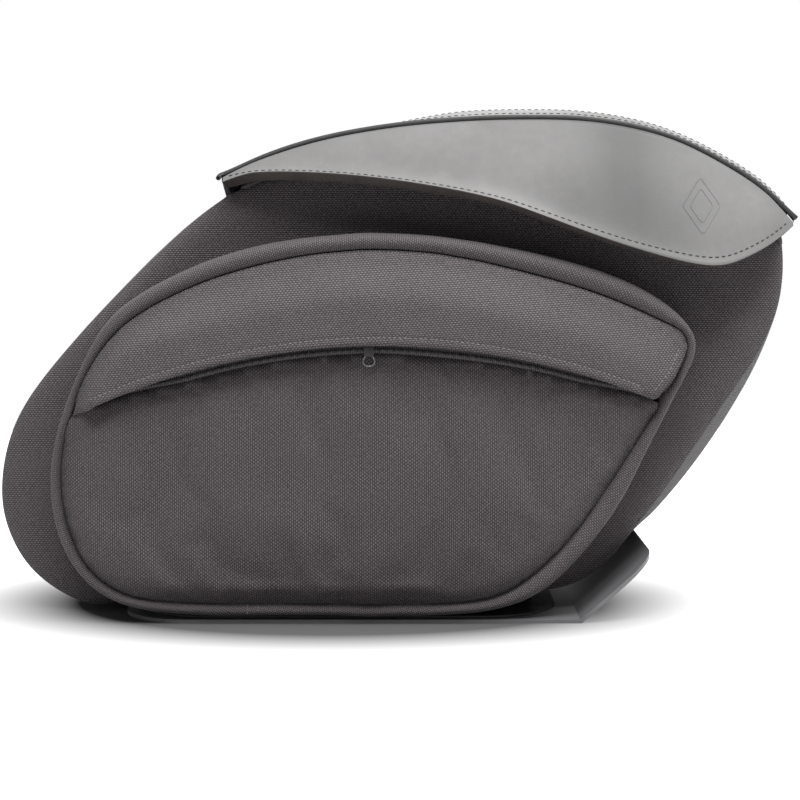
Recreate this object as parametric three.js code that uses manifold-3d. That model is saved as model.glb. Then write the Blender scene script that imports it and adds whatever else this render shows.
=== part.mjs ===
// A motorcycle saddlebag on its sheet-metal support bracket. Millimetres, +Z up, the outer side faces -Y.
// The origin is the bottom centre of the whole object's bounding box.
import * as THREE from 'three';
import { mergeVertices } from 'three/addons/utils/BufferGeometryUtils.js';
import Module from 'manifold-3d';

const wasm = await Module();
wasm.setup();

// ---------------------------------------------------------------- driving dimensions
const GAP = 0.3; // air between touching solids

const BODY_FRONT_Y = -48; // outer face of the body's front panel
const BODY_REAR_Y = 80; // rear edge of the fabric tub
const BODY_WALL = 4; // padded nylon
const BOARD = 4; // back board
const RIM_DROP = 14; // body rim below the lid's ridge

const PLATE = 2.5; // bracket sheet
const PLATE_FRONT_Y = -86;
const PLATE_LEFT_X = -187;
const BEND_X = 121; // where the plate turns up into the wing
const WING_RISE = THREE.MathUtils.degToRad(41);
const WING_END_X = 169;
const LEG_BACK_Y = 95.5;
const LEG_HALF_WIDTH = 95;
const LEG_TOP_Z = 222;
const TRAY = 1.2;
const PAD_TOP_Z = 13;

const POCKET_CREASE_Y = -88;
const PANEL = 2; // pocket front fabric
const LEATHER = 3;
const RIDGE_Y = -55; // the lid's front ridge
const LID_REAR_Y = 84.6;
const CROWN = 9; // how far the lid's top rises behind the ridge
const DROOP = 11; // how far its left rear corner falls
const FLAP_DROP = 3.2; // the flap's top edge below the ridge, under the piping
const LID_LEAN = 0.44; // how far the front flap stands out for each millimetre that it hangs
const PIPING_R = 2.3;

const HINGE_Y = 86.3; // the leather hinge's line
const HINGE_Z = 262;
const HINGE_X0 = -85;
const HINGE_X1 = 222;
const HINGE_HALF_GAP = 3;

const ARC_X = -12; // centre of the zip's arc
const ARC_Z = -274;
const FLAP_R = 460; // lower edge of the storm flap
const ZIP_R = 463.5;
const ZIP_ANGLES = [-24.4, 22.3]; // ends of the zip, degrees from straight up
const SLIDER_ANGLE = -1.06;
const PULLER_PIVOT = { y: -94.4, z: 185.6 };

const BOLT_PLACES = [[-58, 66], [58, 66], [-58, 160], [58, 160]];
const BOLT_R = 3;
const HOLE_R = 3.4;
const SINK_R = 6.5; // countersinks in the leg's back, so that it lies flat on its mount

const CATCH_KEEPER_Y = -66;
const CATCH_MAGNET_Y = -59.2; // the magnet's back, which clears the body's rim as the lid opens
const CATCHES = [{ side: 'left', x: 72, faceZ: 295 }, { side: 'right', x: 175, faceZ: 274 }];

// The body's outline, each row [front x, front z, rear x, rear z], from the left rim round the bottom
// to the right rim. The rear is wider than the front.
const BODY = [
  [-112, 287, -112, 290], [-140, 266, -146, 270], [-194, 214, -204, 217], [-228, 178, -238, 180],
  [-258, 138, -268, 139], [-270, 104, -279, 105], [-271, 68, -280, 68], [-257, 35, -265, 37],
  [-235, 15, -241, 19], [-210, 4.5, -212, 14], [-195, 7, -194, 14], [-182, 13.6, -178, 14],
  [-150, 13.6, -148, 14], [-60, 13.6, -60, 14], [30, 13.6, 30, 14], [88, 13.8, 92, 14.2], [114, 17.5, 118, 18],
  [128, 24, 134, 26], [144, 37, 153, 40.5], [161, 59, 186, 50], [182, 87, 202, 66.5],
  [202, 117, 222.5, 93], [222, 147, 243.5, 125], [244, 180, 266.5, 168], [256, 210, 278, 205],
  [259, 238, 280.5, 237], [256, 262, 279, 262],
];

// The pocket's outline, each row [outer x, outer z, crease x, crease z], clockwise from the left.
const POCKET = [
  [-232, 95, -225, 95], [-228, 124, -221, 127], [-214, 164, -206, 167], [-191, 204, -182, 198],
  [-145, 233, -138, 223], [-95, 250, -92, 238], [-40, 257.5, -42, 246.5], [20, 257, 20, 246],
  [99, 243, 94, 230], [150, 227, 138, 216], [180, 209, 172, 201], [194, 193, 187.5, 193],
  [195.5, 181, 189, 183], [188, 164, 183, 168], [165, 118, 157, 122], [147, 81, 138, 92],
  [120, 44, 113, 57], [94, 20, 86, 31], [66, 9, 63, 18], [30, 5, 32, 13.5],
  [-67, 4.9, -66, 13], [-148, 5.6, -146, 14], [-190, 14, -182, 19], [-214, 33, -206, 35],
  [-228, 62, -220, 62],
];

// The lid's ridge and the lower edge of its front flap, each row [x, z], left to right.
const RIDGE = [
  [-120, 296], [-96, 308], [-57, 321], [-6, 330.5], [45, 335], [81, 336], [125, 335],
  [162, 329], [190, 320], [231, 298], [250, 284], [265, 267],
];
const FLAP_EDGE = [
  [-119, 290.5], [-97, 294], [-60, 294], [-18, 291], [32, 284], [66, 277], [93, 268],
  [133, 254], [165, 244.5], [194, 238], [212, 237], [236, 246], [251, 254.5], [264, 264.5],
];

// ---------------------------------------------------------------- colours and materials
const material = (color, roughness, metalness = 0) =>
  new THREE.MeshStandardMaterial({ color, roughness, metalness });
const nylon = () => material(0x46413f, 0.85);
const lining = () => material(0x2b2a2b, 0.9);
const leather = () => material(0x8a8a8a, 0.42);
const rawLeather = () => material(0x4a4240, 0.8);
const steel = () => material(0x2f2f33, 0.45, 0.6);
const zinc = () => material(0xa8a8ac, 0.35, 1);
const darkMetal = () => material(0x1b1b1d, 0.4, 0.8);
const plastic = () => material(0x1c1c1e, 0.6);
const rubber = () => material(0x171717, 0.9);
const tape = () => material(0x161617, 0.85);

// ---------------------------------------------------------------- outlines
const vec = ([x, z]) => new THREE.Vector3(x, z, 0);
const spline = (points, closed) => new THREE.CatmullRomCurve3(points.map(vec), closed, 'centripetal');

// Two matching outlines sampled at the same parameters.
function sampledPair(rows, closed, count) {
  const first = spline(rows.map((r) => [r[0], r[1]]), closed);
  const second = spline(rows.map((r) => [r[2], r[3]]), closed);
  const steps = closed ? count : count - 1;
  return Array.from({ length: count }, (_, i) => {
    const a = first.getPoint(i / steps);
    const b = second.getPoint(i / steps);
    return [a.x, a.y, b.x, b.y];
  });
}

const bodyRows = sampledPair(BODY, false, 70);
const pocketRows = sampledPair(POCKET, true, 64);
const frontOutline = bodyRows.map((r) => [r[0], r[1]]);
const rearOutline = bodyRows.map((r) => [r[2], r[3]]);
const pocketOuter = pocketRows.map((r) => [r[0], r[1]]);
const pocketCrease = pocketRows.map((r) => [r[2], r[3]]);

// Height of a left-to-right curve at x.
function heightAt(rows) {
  const points = spline(rows, false).getSpacedPoints(120);
  return (x) => {
    const i = Math.min(Math.max(points.findIndex((p) => p.x >= x), 1), points.length - 1);
    const [a, b] = [points[i - 1], points[i]];
    return a.y + ((b.y - a.y) * (x - a.x)) / (b.x - a.x);
  };
}
const ridgeAt = heightAt(RIDGE);

// How far the lid's left part falls away at its rear.
const droopAt = (x) => DROOP * Math.min(1, Math.max(0, (40 - x) / 140));

// The points of a closed or open outline moved inwards by a distance; the outline keeps its point count.
function inset(points, distance, closed = true) {
  const n = points.length;
  const area = points.reduce((sum, [x, z], i) => {
    const [u, w] = points[(i + 1) % n];
    return sum + x * w - u * z;
  }, 0);
  const side = area > 0 ? 1 : -1;
  return points.map(([x, z], i) => {
    const before = points[closed ? (i + n - 1) % n : Math.max(i - 1, 0)];
    const after = points[closed ? (i + 1) % n : Math.min(i + 1, n - 1)];
    const dx = after[0] - before[0];
    const dz = after[1] - before[1];
    const length = Math.hypot(dx, dz);
    return [x - (side * distance * dz) / length, z + (side * distance * dx) / length];
  });
}

// ---------------------------------------------------------------- solids
function place(geometry, make, name) {
  const mesh = new THREE.Mesh(geometry, make());
  mesh.name = name;
  return mesh;
}

// A shape drawn in x and z, made solid between two y values.
function plateShape(shape, y0, y1, curveSegments = 8) {
  const options = { depth: y1 - y0, bevelEnabled: false, curveSegments };
  return new THREE.ExtrudeGeometry(shape, options).rotateX(Math.PI / 2).translate(0, y1, 0);
}

function shapeOf(points, holes = []) {
  const shape = new THREE.Shape(points.map(([x, z]) => new THREE.Vector2(x, z)));
  shape.holes = holes;
  return shape;
}

function roundHole(x, z, radius) {
  return new THREE.Path().absarc(x, z, radius, 0, 2 * Math.PI, true);
}

function slotHole(x, z, halfWidth, halfLength) {
  const path = new THREE.Path();
  path.absarc(x, z + halfLength, halfWidth, 0, Math.PI, false);
  path.absarc(x, z - halfLength, halfWidth, Math.PI, 2 * Math.PI, false);
  return path;
}

// A closed solid from rings of points: ring after ring, joined end to start when looped, capped when not.
function loft(rings, looped) {
  const per = rings[0].length;
  const index = [];
  const count = rings.length;
  const last = looped ? count : count - 1;
  for (let i = 0; i < last; i += 1) {
    for (let j = 0; j < per; j += 1) {
      const a = i * per + j;
      const b = i * per + ((j + 1) % per);
      const c = ((i + 1) % count) * per + ((j + 1) % per);
      const d = ((i + 1) % count) * per + j;
      index.push(a, b, c, a, c, d);
    }
  }
  if (!looped) {
    for (let j = 1; j < per - 1; j += 1) {
      const base = (count - 1) * per;
      index.push(0, j + 1, j, base, base + j, base + j + 1);
    }
  }
  const geometry = new THREE.BufferGeometry();
  geometry.setAttribute('position', new THREE.Float32BufferAttribute(rings.flat(2), 3));
  geometry.setIndex(index);
  return outward(geometry);
}

// Turns a closed mesh's faces outwards.
function outward(geometry) {
  const p = geometry.getAttribute('position');
  const index = geometry.getIndex().array;
  const [a, b, c] = [new THREE.Vector3(), new THREE.Vector3(), new THREE.Vector3()];
  let volume = 0;
  for (let i = 0; i < index.length; i += 3) {
    a.fromBufferAttribute(p, index[i]);
    b.fromBufferAttribute(p, index[i + 1]);
    c.fromBufferAttribute(p, index[i + 2]);
    volume += a.dot(b.cross(c));
  }
  if (volume < 0) {
    for (let i = 0; i < index.length; i += 3) [index[i], index[i + 1]] = [index[i + 1], index[i]];
  }
  return geometry;
}

// A sheet given by its outer surface and the way to its inner one, over a grid of u and v.
function slab(surface, inward, nu, nv) {
  const ringAt = (i) => {
    const outer = [];
    const inner = [];
    for (let j = 0; j <= nv; j += 1) {
      const p = surface(i / nu, j / nv);
      outer.push(p);
      inner.unshift(p.map((value, k) => value + inward[k]));
    }
    return [...outer, ...inner];
  };
  return loftStrip(Array.from({ length: nu + 1 }, (_, i) => ringAt(i)), nv);
}

// A loft whose end caps are the strips between a sheet's two faces.
function loftStrip(rings, nv) {
  const per = rings[0].length;
  const geometry = loftSides(rings);
  const index = [...geometry.getIndex().array];
  const cap = (base, flip) => {
    for (let j = 0; j < nv; j += 1) {
      const quad = [base + j, base + j + 1, base + per - 2 - j, base + per - 1 - j];
      const [a, b, c, d] = flip ? quad.reverse() : quad;
      index.push(a, b, c, a, c, d);
    }
  };
  cap(0, true);
  cap((rings.length - 1) * per, false);
  geometry.setIndex(index);
  return outward(geometry);
}

function loftSides(rings) {
  const per = rings[0].length;
  const index = [];
  for (let i = 0; i < rings.length - 1; i += 1) {
    for (let j = 0; j < per; j += 1) {
      const a = i * per + j;
      const b = i * per + ((j + 1) % per);
      index.push(a, b, b + per, a, b + per, a + per);
    }
  }
  const geometry = new THREE.BufferGeometry();
  geometry.setAttribute('position', new THREE.Float32BufferAttribute(rings.flat(2), 3));
  geometry.setIndex(index);
  return geometry;
}

// A round cord through points, closed or open.
function tube(points, radius, closed, steps, sides = 8) {
  const curve = new THREE.CatmullRomCurve3(points.map((p) => new THREE.Vector3(...p)), closed);
  const section = new THREE.Shape();
  for (let i = 0; i < sides; i += 1) {
    const angle = (2 * Math.PI * i) / sides;
    section[i ? 'lineTo' : 'moveTo'](radius * Math.cos(angle), radius * Math.sin(angle));
  }
  return new THREE.ExtrudeGeometry(section, { steps, extrudePath: curve, bevelEnabled: false });
}

function box(x0, x1, y0, y1, z0, z1) {
  const geometry = new THREE.BoxGeometry(x1 - x0, y1 - y0, z1 - z0);
  return geometry.translate((x0 + x1) / 2, (y0 + y1) / 2, (z0 + z1) / 2);
}

// ---------------------------------------------------------------- booleans
function toSolid(geometry) {
  const bare = new THREE.BufferGeometry();
  bare.setAttribute('position', geometry.getAttribute('position').clone());
  if (geometry.index) bare.setIndex(geometry.index.clone());
  const merged = mergeVertices(bare, 1e-3);
  const mesh = new wasm.Mesh({
    numProp: 3,
    vertProperties: new Float32Array(merged.getAttribute('position').array),
    triVerts: new Uint32Array(merged.index.array),
  });
  return new wasm.Manifold(mesh);
}

function fromSolid(solid) {
  const { vertProperties, triVerts } = solid.getMesh();
  const geometry = new THREE.BufferGeometry();
  geometry.setAttribute('position', new THREE.BufferAttribute(vertProperties, 3));
  geometry.setIndex(new THREE.BufferAttribute(triVerts, 1));
  return geometry;
}

const combine = (method) => (first, ...rest) =>
  fromSolid(rest.reduce((solid, g) => solid[method](toSolid(g)), toSolid(first)));
const join = combine('add');
const cut = combine('subtract');
const common = combine('intersect');

// A round disc about the zip's centre, of the given radius, between two y values.
function zipDisc(radius, y0, y1) {
  return new THREE.CylinderGeometry(radius, radius, y1 - y0, 180).translate(ARC_X, (y0 + y1) / 2, ARC_Z);
}

// A band along the zip's arc.
function zipBand(r0, r1, y0, y1, trim = 0) {
  const [start, end] = ZIP_ANGLES.map((a) => THREE.MathUtils.degToRad(90 - a));
  const shape = new THREE.Shape();
  shape.absarc(ARC_X, ARC_Z, r1, start - trim, end + trim, true);
  shape.absarc(ARC_X, ARC_Z, r0, end + trim, start - trim, false);
  return plateShape(shape, y0, y1, 12);
}

// ---------------------------------------------------------------- the body
// Left rim, bottom and right rim in one band, from the front panel's edge to the wider rear.
function bodyGusset() {
  const innerFront = inset(frontOutline, BODY_WALL, false);
  const innerRear = inset(rearOutline, BODY_WALL, false);
  const y0 = BODY_FRONT_Y + BODY_WALL + GAP;
  const rings = bodyRows.map(([fx, fz, rx, rz], i) => [
    [fx, y0, fz], [rx, BODY_REAR_Y, rz],
    [innerRear[i][0], BODY_REAR_Y, innerRear[i][1]], [innerFront[i][0], y0, innerFront[i][1]],
  ]);
  return place(loft(rings, false), nylon, 'body_gusset');
}

// A body outline closed over its top by the curve under the lid's ridge.
function closedOutline(outline, edge) {
  const lower = inset(outline, edge, false);
  const [left, right] = [lower[0][0], lower[lower.length - 1][0]];
  const top = [];
  const count = 22;
  for (let i = 1; i < count; i += 1) {
    const x = right + ((left - right) * i) / count;
    top.push([x, ridgeAt(x) - RIM_DROP]);
  }
  return [...lower, ...top];
}

function bodyFrontPanel() {
  const shape = shapeOf(closedOutline(frontOutline, 0.6));
  return place(plateShape(shape, BODY_FRONT_Y, BODY_FRONT_Y + BODY_WALL), nylon, 'body_front_panel');
}

function frontStiffener() {
  const y0 = BODY_FRONT_Y + BODY_WALL + GAP;
  const shape = shapeOf(inset(closedOutline(frontOutline, BODY_WALL + 1), 2));
  return place(plateShape(shape, y0, y0 + 2), plastic, 'front_stiffener');
}

function backPanel() {
  const holes = BOLT_PLACES.map(([x, z]) => roundHole(x, z, HOLE_R));
  const shape = shapeOf(closedOutline(rearOutline, 2 * PIPING_R + 2), holes);
  return place(plateShape(shape, BODY_REAR_Y + GAP, BODY_REAR_Y + GAP + BOARD), plastic, 'back_panel');
}

function rearPiping() {
  const y = BODY_REAR_Y + GAP + PIPING_R;
  const points = inset(rearOutline, PIPING_R, false).filter((_, i) => i % 3 === 0);
  return place(tube(points.map(([x, z]) => [x, y, z]), PIPING_R, false, 60, 6), nylon, 'rear_piping');
}

function bottomBoard() {
  return place(box(-166, 80, -38, 77, 18.6, 20.8), plastic, 'bottom_board');
}

function rimBinding() {
  const front = [];
  const rear = [];
  for (let x = -96; x <= 246; x += 19) {
    const z = ridgeAt(x) - RIM_DROP + 2.8;
    front.push([x, BODY_FRONT_Y + BODY_WALL / 2, z]);
    const rearX = x * 1.04;
    rear.unshift([rearX, BODY_REAR_Y - 4, ridgeAt(rearX) - droopAt(rearX) - RIM_DROP + 2.8]);
  }
  return place(tube([...front, ...rear], 1.9, true, 66, 6), tape, 'rim_binding');
}

// ---------------------------------------------------------------- the outer pocket
function pocketGusset() {
  const back = BODY_FRONT_Y - GAP;
  const innerOuter = inset(pocketOuter, 3.5);
  const rings = pocketRows.map(([ox, oz, cx, cz], i) => {
    const [ix, iz] = innerOuter[i];
    const lip = [cx + (ix - ox) * 0.3, cz + (iz - oz) * 0.3];
    return [
      [ox, back, oz], [ox, POCKET_CREASE_Y + 9, oz], [(4 * ox + cx) / 5, POCKET_CREASE_Y + 2, (4 * oz + cz) / 5],
      [(ox + cx) / 2, POCKET_CREASE_Y - 2, (oz + cz) / 2], [cx, POCKET_CREASE_Y + 1, cz],
      [lip[0], POCKET_CREASE_Y + 4, lip[1]], [ix, POCKET_CREASE_Y + 10, iz], [ix, back, iz],
    ];
  });
  return place(loft(rings, true), nylon, 'pocket_gusset');
}

// The pocket's flat front, without its zip.
function pocketFace(y0, y1, edge) {
  return plateShape(shapeOf(inset(pocketCrease, edge)), y0, y1);
}

function pocketFront() {
  const [y0, y1] = [POCKET_CREASE_Y - PANEL, POCKET_CREASE_Y];
  const geometry = common(pocketFace(y0, y1, 1.2), zipDisc(ZIP_R - 4, y0 - 1, y1 + 1));
  return place(geometry, nylon, 'pocket_front_panel');
}

function pocketUpper() {
  const [y0, y1] = [POCKET_CREASE_Y - PANEL, POCKET_CREASE_Y];
  const geometry = cut(pocketFace(y0, y1, 1.2), zipDisc(ZIP_R + 4, y0 - 1, y1 + 1));
  return place(geometry, nylon, 'pocket_upper_panel');
}

// The storm flap stands off the pocket over the zip, and is sewn to the crease along its top.
function stormFlap() {
  const [front, lip, back] = [-99.2, -96.9, POCKET_CREASE_Y - PANEL - GAP];
  const face = pocketFace(front, lip, 1.2);
  const welt = cut(pocketFace(lip - 0.5, back, 1.2), pocketFace(lip - 1.5, back + 1, 5));
  const whole = join(face, welt);
  return place(cut(whole, zipDisc(FLAP_R, front - 1, back + 1)), nylon, 'storm_flap');
}

function zipParts() {
  const tapes = [
    place(zipBand(ZIP_R + GAP, ZIP_R + 11, POCKET_CREASE_Y + GAP, POCKET_CREASE_Y + 1.3), tape, 'zip_tape_upper'),
    place(zipBand(ZIP_R - 11, ZIP_R - GAP, POCKET_CREASE_Y + GAP, POCKET_CREASE_Y + 1.3), tape, 'zip_tape_lower'),
  ];
  const [y0, y1] = [POCKET_CREASE_Y - 2.2, POCKET_CREASE_Y];
  const teeth = [
    place(zipBand(ZIP_R + 0.2, ZIP_R + 2.4, y0, y1, -0.01), darkMetal, 'zip_teeth_upper'),
    place(zipBand(ZIP_R - 2.4, ZIP_R - 0.2, y0, y1, -0.01), darkMetal, 'zip_teeth_lower'),
  ];
  return [...tapes, ...teeth];
}

// Zip parts are drawn with the slider straight above the arc's centre, then turned to its place.
function alongZip(geometry) {
  geometry.translate(-ARC_X, 0, -ARC_Z);
  geometry.rotateY(THREE.MathUtils.degToRad(SLIDER_ANGLE));
  return geometry.translate(ARC_X, 0, ARC_Z);
}

function zipSlider() {
  const top = ARC_Z + ZIP_R;
  const [front, back] = [-93, POCKET_CREASE_Y - 2.2 - 0.4];
  const body = box(ARC_X - 4.4, ARC_X + 4.4, front, back, top - 5, top + 5);
  const lug = (side) =>
    box(ARC_X + side * 2.9 - 0.7, ARC_X + side * 2.9 + 0.7, PULLER_PIVOT.y - 1, front + 0.2, top - 5, top - 2.2);
  const pin = new THREE.CylinderGeometry(0.6, 0.6, 6.4, 12).rotateZ(Math.PI / 2);
  pin.translate(ARC_X, PULLER_PIVOT.y, PULLER_PIVOT.z);
  return place(alongZip(join(body, lug(-1), lug(1), pin)), darkMetal, 'zip_slider');
}

function zipPuller() {
  const ringZ = PULLER_PIVOT.z - 7.8;
  const ring = new THREE.Shape().absarc(ARC_X, ringZ, 4.3, 0, 2 * Math.PI, false);
  ring.holes.push(roundHole(ARC_X, ringZ, 3));
  const [y0, y1] = [PULLER_PIVOT.y - 0.7, PULLER_PIVOT.y + 0.7];
  const neck = box(ARC_X - 1.7, ARC_X + 1.7, y0, y1, ringZ + 3.6, PULLER_PIVOT.z + 0.6);
  const eye = new THREE.CylinderGeometry(1.4, 1.4, 3.4, 16).rotateZ(Math.PI / 2);
  eye.translate(ARC_X, PULLER_PIVOT.y, PULLER_PIVOT.z);
  const bore = new THREE.CylinderGeometry(0.9, 0.9, 5, 16).rotateZ(Math.PI / 2);
  bore.translate(ARC_X, PULLER_PIVOT.y, PULLER_PIVOT.z);
  const whole = join(plateShape(ring, y0, y1, 12), neck, eye);
  return place(alongZip(cut(whole, bore)), darkMetal, 'zip_puller');
}

// ---------------------------------------------------------------- the lid
const lidRidge = spline(RIDGE, false);
const lidEdge = spline(FLAP_EDGE, false);

// The front flap hangs from the ridge and stands out as it comes down.
function flapPoint(u, v) {
  const along = lidRidge.getTangentAt(u);
  const top = lidRidge.getPointAt(u).add(new THREE.Vector3(along.y, -along.x, 0).multiplyScalar(FLAP_DROP));
  const low = lidEdge.getPointAt(u);
  const drop = (top.y - low.y) * v;
  return [top.x + (low.x - top.x) * v, RIDGE_Y - LID_LEAN * drop, top.y - drop];
}

function lidFlap() {
  return place(slab(flapPoint, [0, LEATHER, -0.6], 34, 3), leather, 'lid_flap');
}

// The top panel starts just behind the piping, rises to its crown and falls to the hinge side.
function topPoint(u, v, edge = 0, drop = 0) {
  const ridge = lidRidge.getPointAt(edge + u * (1 - 2 * edge));
  const y = RIDGE_Y + LEATHER + 1.2 + (LID_REAR_Y - RIDGE_Y - LEATHER - 1.2) * v;
  const splay = ridge.x > 0 ? 16.3 * (ridge.x / 265) ** 2 : -8 * (ridge.x / -120);
  const swell = Math.min(1, Math.max(0, (ridge.x + 70) / 110));
  const rise = CROWN * swell * (1 - ((y - 20) / 76) ** 2);
  return [ridge.x + splay * v, y, ridge.y + rise - droopAt(ridge.x) * v - drop];
}

function lidTop() {
  const geometry = slab((u, v) => topPoint(u, v), [0, 0, -LEATHER], 30, 5);
  return place(geometry, leather, 'lid_top');
}

function lidStiffener() {
  const surface = (u, v) => topPoint(u, 0.06 + 0.86 * v, 0.08, LEATHER + 1.2);
  return place(slab(surface, [0, 0, -1.8], 20, 4), plastic, 'lid_stiffener');
}

function lidPiping() {
  const points = [];
  for (let i = 0; i <= 24; i += 1) {
    const { x, y } = lidRidge.getPointAt(i / 24);
    points.push([x, RIDGE_Y + 1.5, y]);
  }
  return place(tube(points, PIPING_R, false, 48), tape, 'lid_piping');
}

// The lid's rear skirt hangs from the top panel down to the hinge line.
function lidSkirt() {
  const points = [[HINGE_X0, HINGE_Z + HINGE_HALF_GAP], [HINGE_X1, HINGE_Z + HINGE_HALF_GAP]];
  const rear = Array.from({ length: 41 }, (_, i) => topPoint(i / 40, 1));
  const top = rear.filter(([x]) => x > HINGE_X0 - 6 && x < HINGE_X1 + 8).map(([x, , z]) => [x, z]);
  const shape = shapeOf([...points, ...top.reverse()]);
  return place(plateShape(shape, HINGE_Y - 1.3, HINGE_Y + 1.3), leather, 'lid_skirt');
}

function hingeStrap() {
  const z1 = HINGE_Z - HINGE_HALF_GAP;
  const z0 = z1 - 30;
  const corners = [[HINGE_X0, z1], [HINGE_X0 + 8, z0], [HINGE_X1 - 8, z0], [HINGE_X1, z1]];
  const holes = rivetPlaces().map((x) => roundHole(x, z0 + 14, 2.6));
  return place(plateShape(shapeOf(corners, holes), HINGE_Y - 1.3, HINGE_Y + 1.3), leather, 'hinge_strap');
}

function rivetPlaces() {
  return [0, 1, 2, 3].map((i) => HINGE_X0 + 28 + i * ((HINGE_X1 - HINGE_X0 - 56) / 3));
}

function rivets() {
  const z = HINGE_Z - HINGE_HALF_GAP - 16;
  const start = BODY_REAR_Y + GAP + BOARD + GAP;
  const profile = [
    [0, 0], [2.2, 0], [2.2, 3.4], [5, 3.4], [4.6, 4.3], [2.6, 5], [0, 5.2],
  ].map(([r, y]) => new THREE.Vector2(r, y));
  return rivetPlaces().map((x, i) => {
    const geometry = new THREE.LatheGeometry(profile, 12);
    return place(outward(indexed(geometry)).translate(x, start, z), zinc, `hinge_rivet_${i + 1}`);
  });
}

function indexed(geometry) {
  return fromSolid(toSolid(geometry));
}

// ---------------------------------------------------------------- magnetic catches
// The keeper is on the body's front; the magnet block rests on it and hangs by a tab from the flap's inside.
function magneticCatch({ side, x, faceZ }) {
  const blockTop = faceZ + 11;
  const tabTop = blockTop + 18;
  const flapTop = Math.min(ridgeAt(x - 10), ridgeAt(x + 10)) - FLAP_DROP;
  const flapInside = (z) => RIDGE_Y + LEATHER + 2 - LID_LEAN * (flapTop - z);
  // A section drawn in y and z, extruded along x about the catch's middle.
  const bar = (section, width) => {
    const across = new THREE.Matrix4().set(0, 0, 1, x - width / 2, 1, 0, 0, 0, 0, 1, 0, 0, 0, 0, 0, 1);
    return new THREE.ExtrudeGeometry(shapeOf(section), { depth: width, bevelEnabled: false }).applyMatrix4(across);
  };
  const magnet = [
    [flapInside(faceZ), faceZ + GAP], [CATCH_MAGNET_Y, faceZ + GAP],
    [CATCH_MAGNET_Y, blockTop], [flapInside(blockTop), blockTop],
  ];
  const tab = [
    [flapInside(blockTop), blockTop + GAP], [flapInside(blockTop) + 2, blockTop + GAP],
    [flapInside(tabTop) + 2, tabTop], [flapInside(tabTop), tabTop],
  ];
  const keeper = box(x - 11, x + 11, CATCH_KEEPER_Y, BODY_FRONT_Y - GAP, faceZ - 12, faceZ);
  return [
    place(keeper, plastic, `catch_keeper_${side}`),
    place(bar(magnet, 20), plastic, `catch_magnet_${side}`),
    place(bar(tab, 16), rawLeather, `catch_tab_${side}`),
  ];
}

// ---------------------------------------------------------------- the support bracket
// The plate seen from above: round left corners, a tongue at the rear for the leg, a rounded wing tip.
function platePlan() {
  const corner = 45;
  const tip = 24;
  const rear = 84;
  const end = WING_END_X;
  const shape = new THREE.Shape();
  shape.moveTo(PLATE_LEFT_X + corner, PLATE_FRONT_Y);
  shape.lineTo(end - tip, PLATE_FRONT_Y);
  shape.quadraticCurveTo(end, PLATE_FRONT_Y, end, PLATE_FRONT_Y + tip * 1.3);
  shape.lineTo(end, rear - tip);
  shape.quadraticCurveTo(end, rear, end - tip, rear);
  shape.lineTo(LEG_HALF_WIDTH, rear);
  shape.lineTo(LEG_HALF_WIDTH, LEG_BACK_Y);
  shape.lineTo(-LEG_HALF_WIDTH, LEG_BACK_Y);
  shape.lineTo(-LEG_HALF_WIDTH, rear);
  shape.lineTo(PLATE_LEFT_X + corner, rear);
  shape.absarc(PLATE_LEFT_X + corner, rear - corner, corner, Math.PI / 2, Math.PI, false);
  shape.absarc(PLATE_LEFT_X + corner, PLATE_FRONT_Y + corner, corner, Math.PI, 1.5 * Math.PI, false);
  return new THREE.ExtrudeGeometry(shape, { depth: 80, bevelEnabled: false, curveSegments: 10 }).translate(0, 0, -5);
}

// The plate seen from the front: flat, then bent up into the wing.
function plateSection() {
  const lift = Math.tan(WING_RISE) * (WING_END_X + 4 - BEND_X);
  const [sx, sz] = [Math.sin(WING_RISE) * PLATE, Math.cos(WING_RISE) * PLATE];
  const x1 = WING_END_X + 4;
  const inner = BEND_X - Math.tan(WING_RISE / 2) * PLATE;
  const points = [
    [PLATE_LEFT_X - 5, 0], [BEND_X, 0], [x1, lift], [x1 - sx, lift + sz], [inner, PLATE], [PLATE_LEFT_X - 5, PLATE],
  ];
  return plateShape(shapeOf(points), PLATE_FRONT_Y - 5, LEG_BACK_Y + 5);
}

function bracketLeg() {
  const w = LEG_HALF_WIDTH;
  const corners = [[-w, 0], [w, 0], [w, 150], [w - 30, LEG_TOP_Z], [30 - w, LEG_TOP_Z], [-w, 150]];
  const holes = BOLT_PLACES.map(([x, z]) => roundHole(x, z, HOLE_R));
  const slots = [-38, 38].map((x) => slotHole(x, 196, 4.5, 12));
  const sheet = plateShape(shapeOf(corners, [...holes, ...slots]), LEG_BACK_Y - PLATE, LEG_BACK_Y);
  const countersinks = BOLT_PLACES.map(([x, z]) =>
    new THREE.CylinderGeometry(SINK_R, SINK_R - PLATE, PLATE + 0.02, 24).translate(x, LEG_BACK_Y - PLATE / 2, z));
  return cut(sheet, ...countersinks);
}

function supportBracket() {
  const geometry = join(common(plateSection(), platePlan()), bracketLeg());
  return place(geometry, steel, 'support_bracket');
}

function roundedPlate(x0, x1, y0, y1, radius, z0, z1) {
  const shape = new THREE.Shape();
  shape.absarc(x1 - radius, y1 - radius, radius, 0, Math.PI / 2, false);
  shape.absarc(x0 + radius, y1 - radius, radius, Math.PI / 2, Math.PI, false);
  shape.absarc(x0 + radius, y0 + radius, radius, Math.PI, 1.5 * Math.PI, false);
  shape.absarc(x1 - radius, y0 + radius, radius, 1.5 * Math.PI, 2 * Math.PI, false);
  return new THREE.ExtrudeGeometry(shape, { depth: z1 - z0, bevelEnabled: false, curveSegments: 8 }).translate(0, 0, z0);
}

function bottomTray() {
  const z0 = PLATE + GAP;
  return place(roundedPlate(-180, 107, -80, 80, 52, z0, z0 + TRAY), plastic, 'bottom_tray');
}

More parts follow.
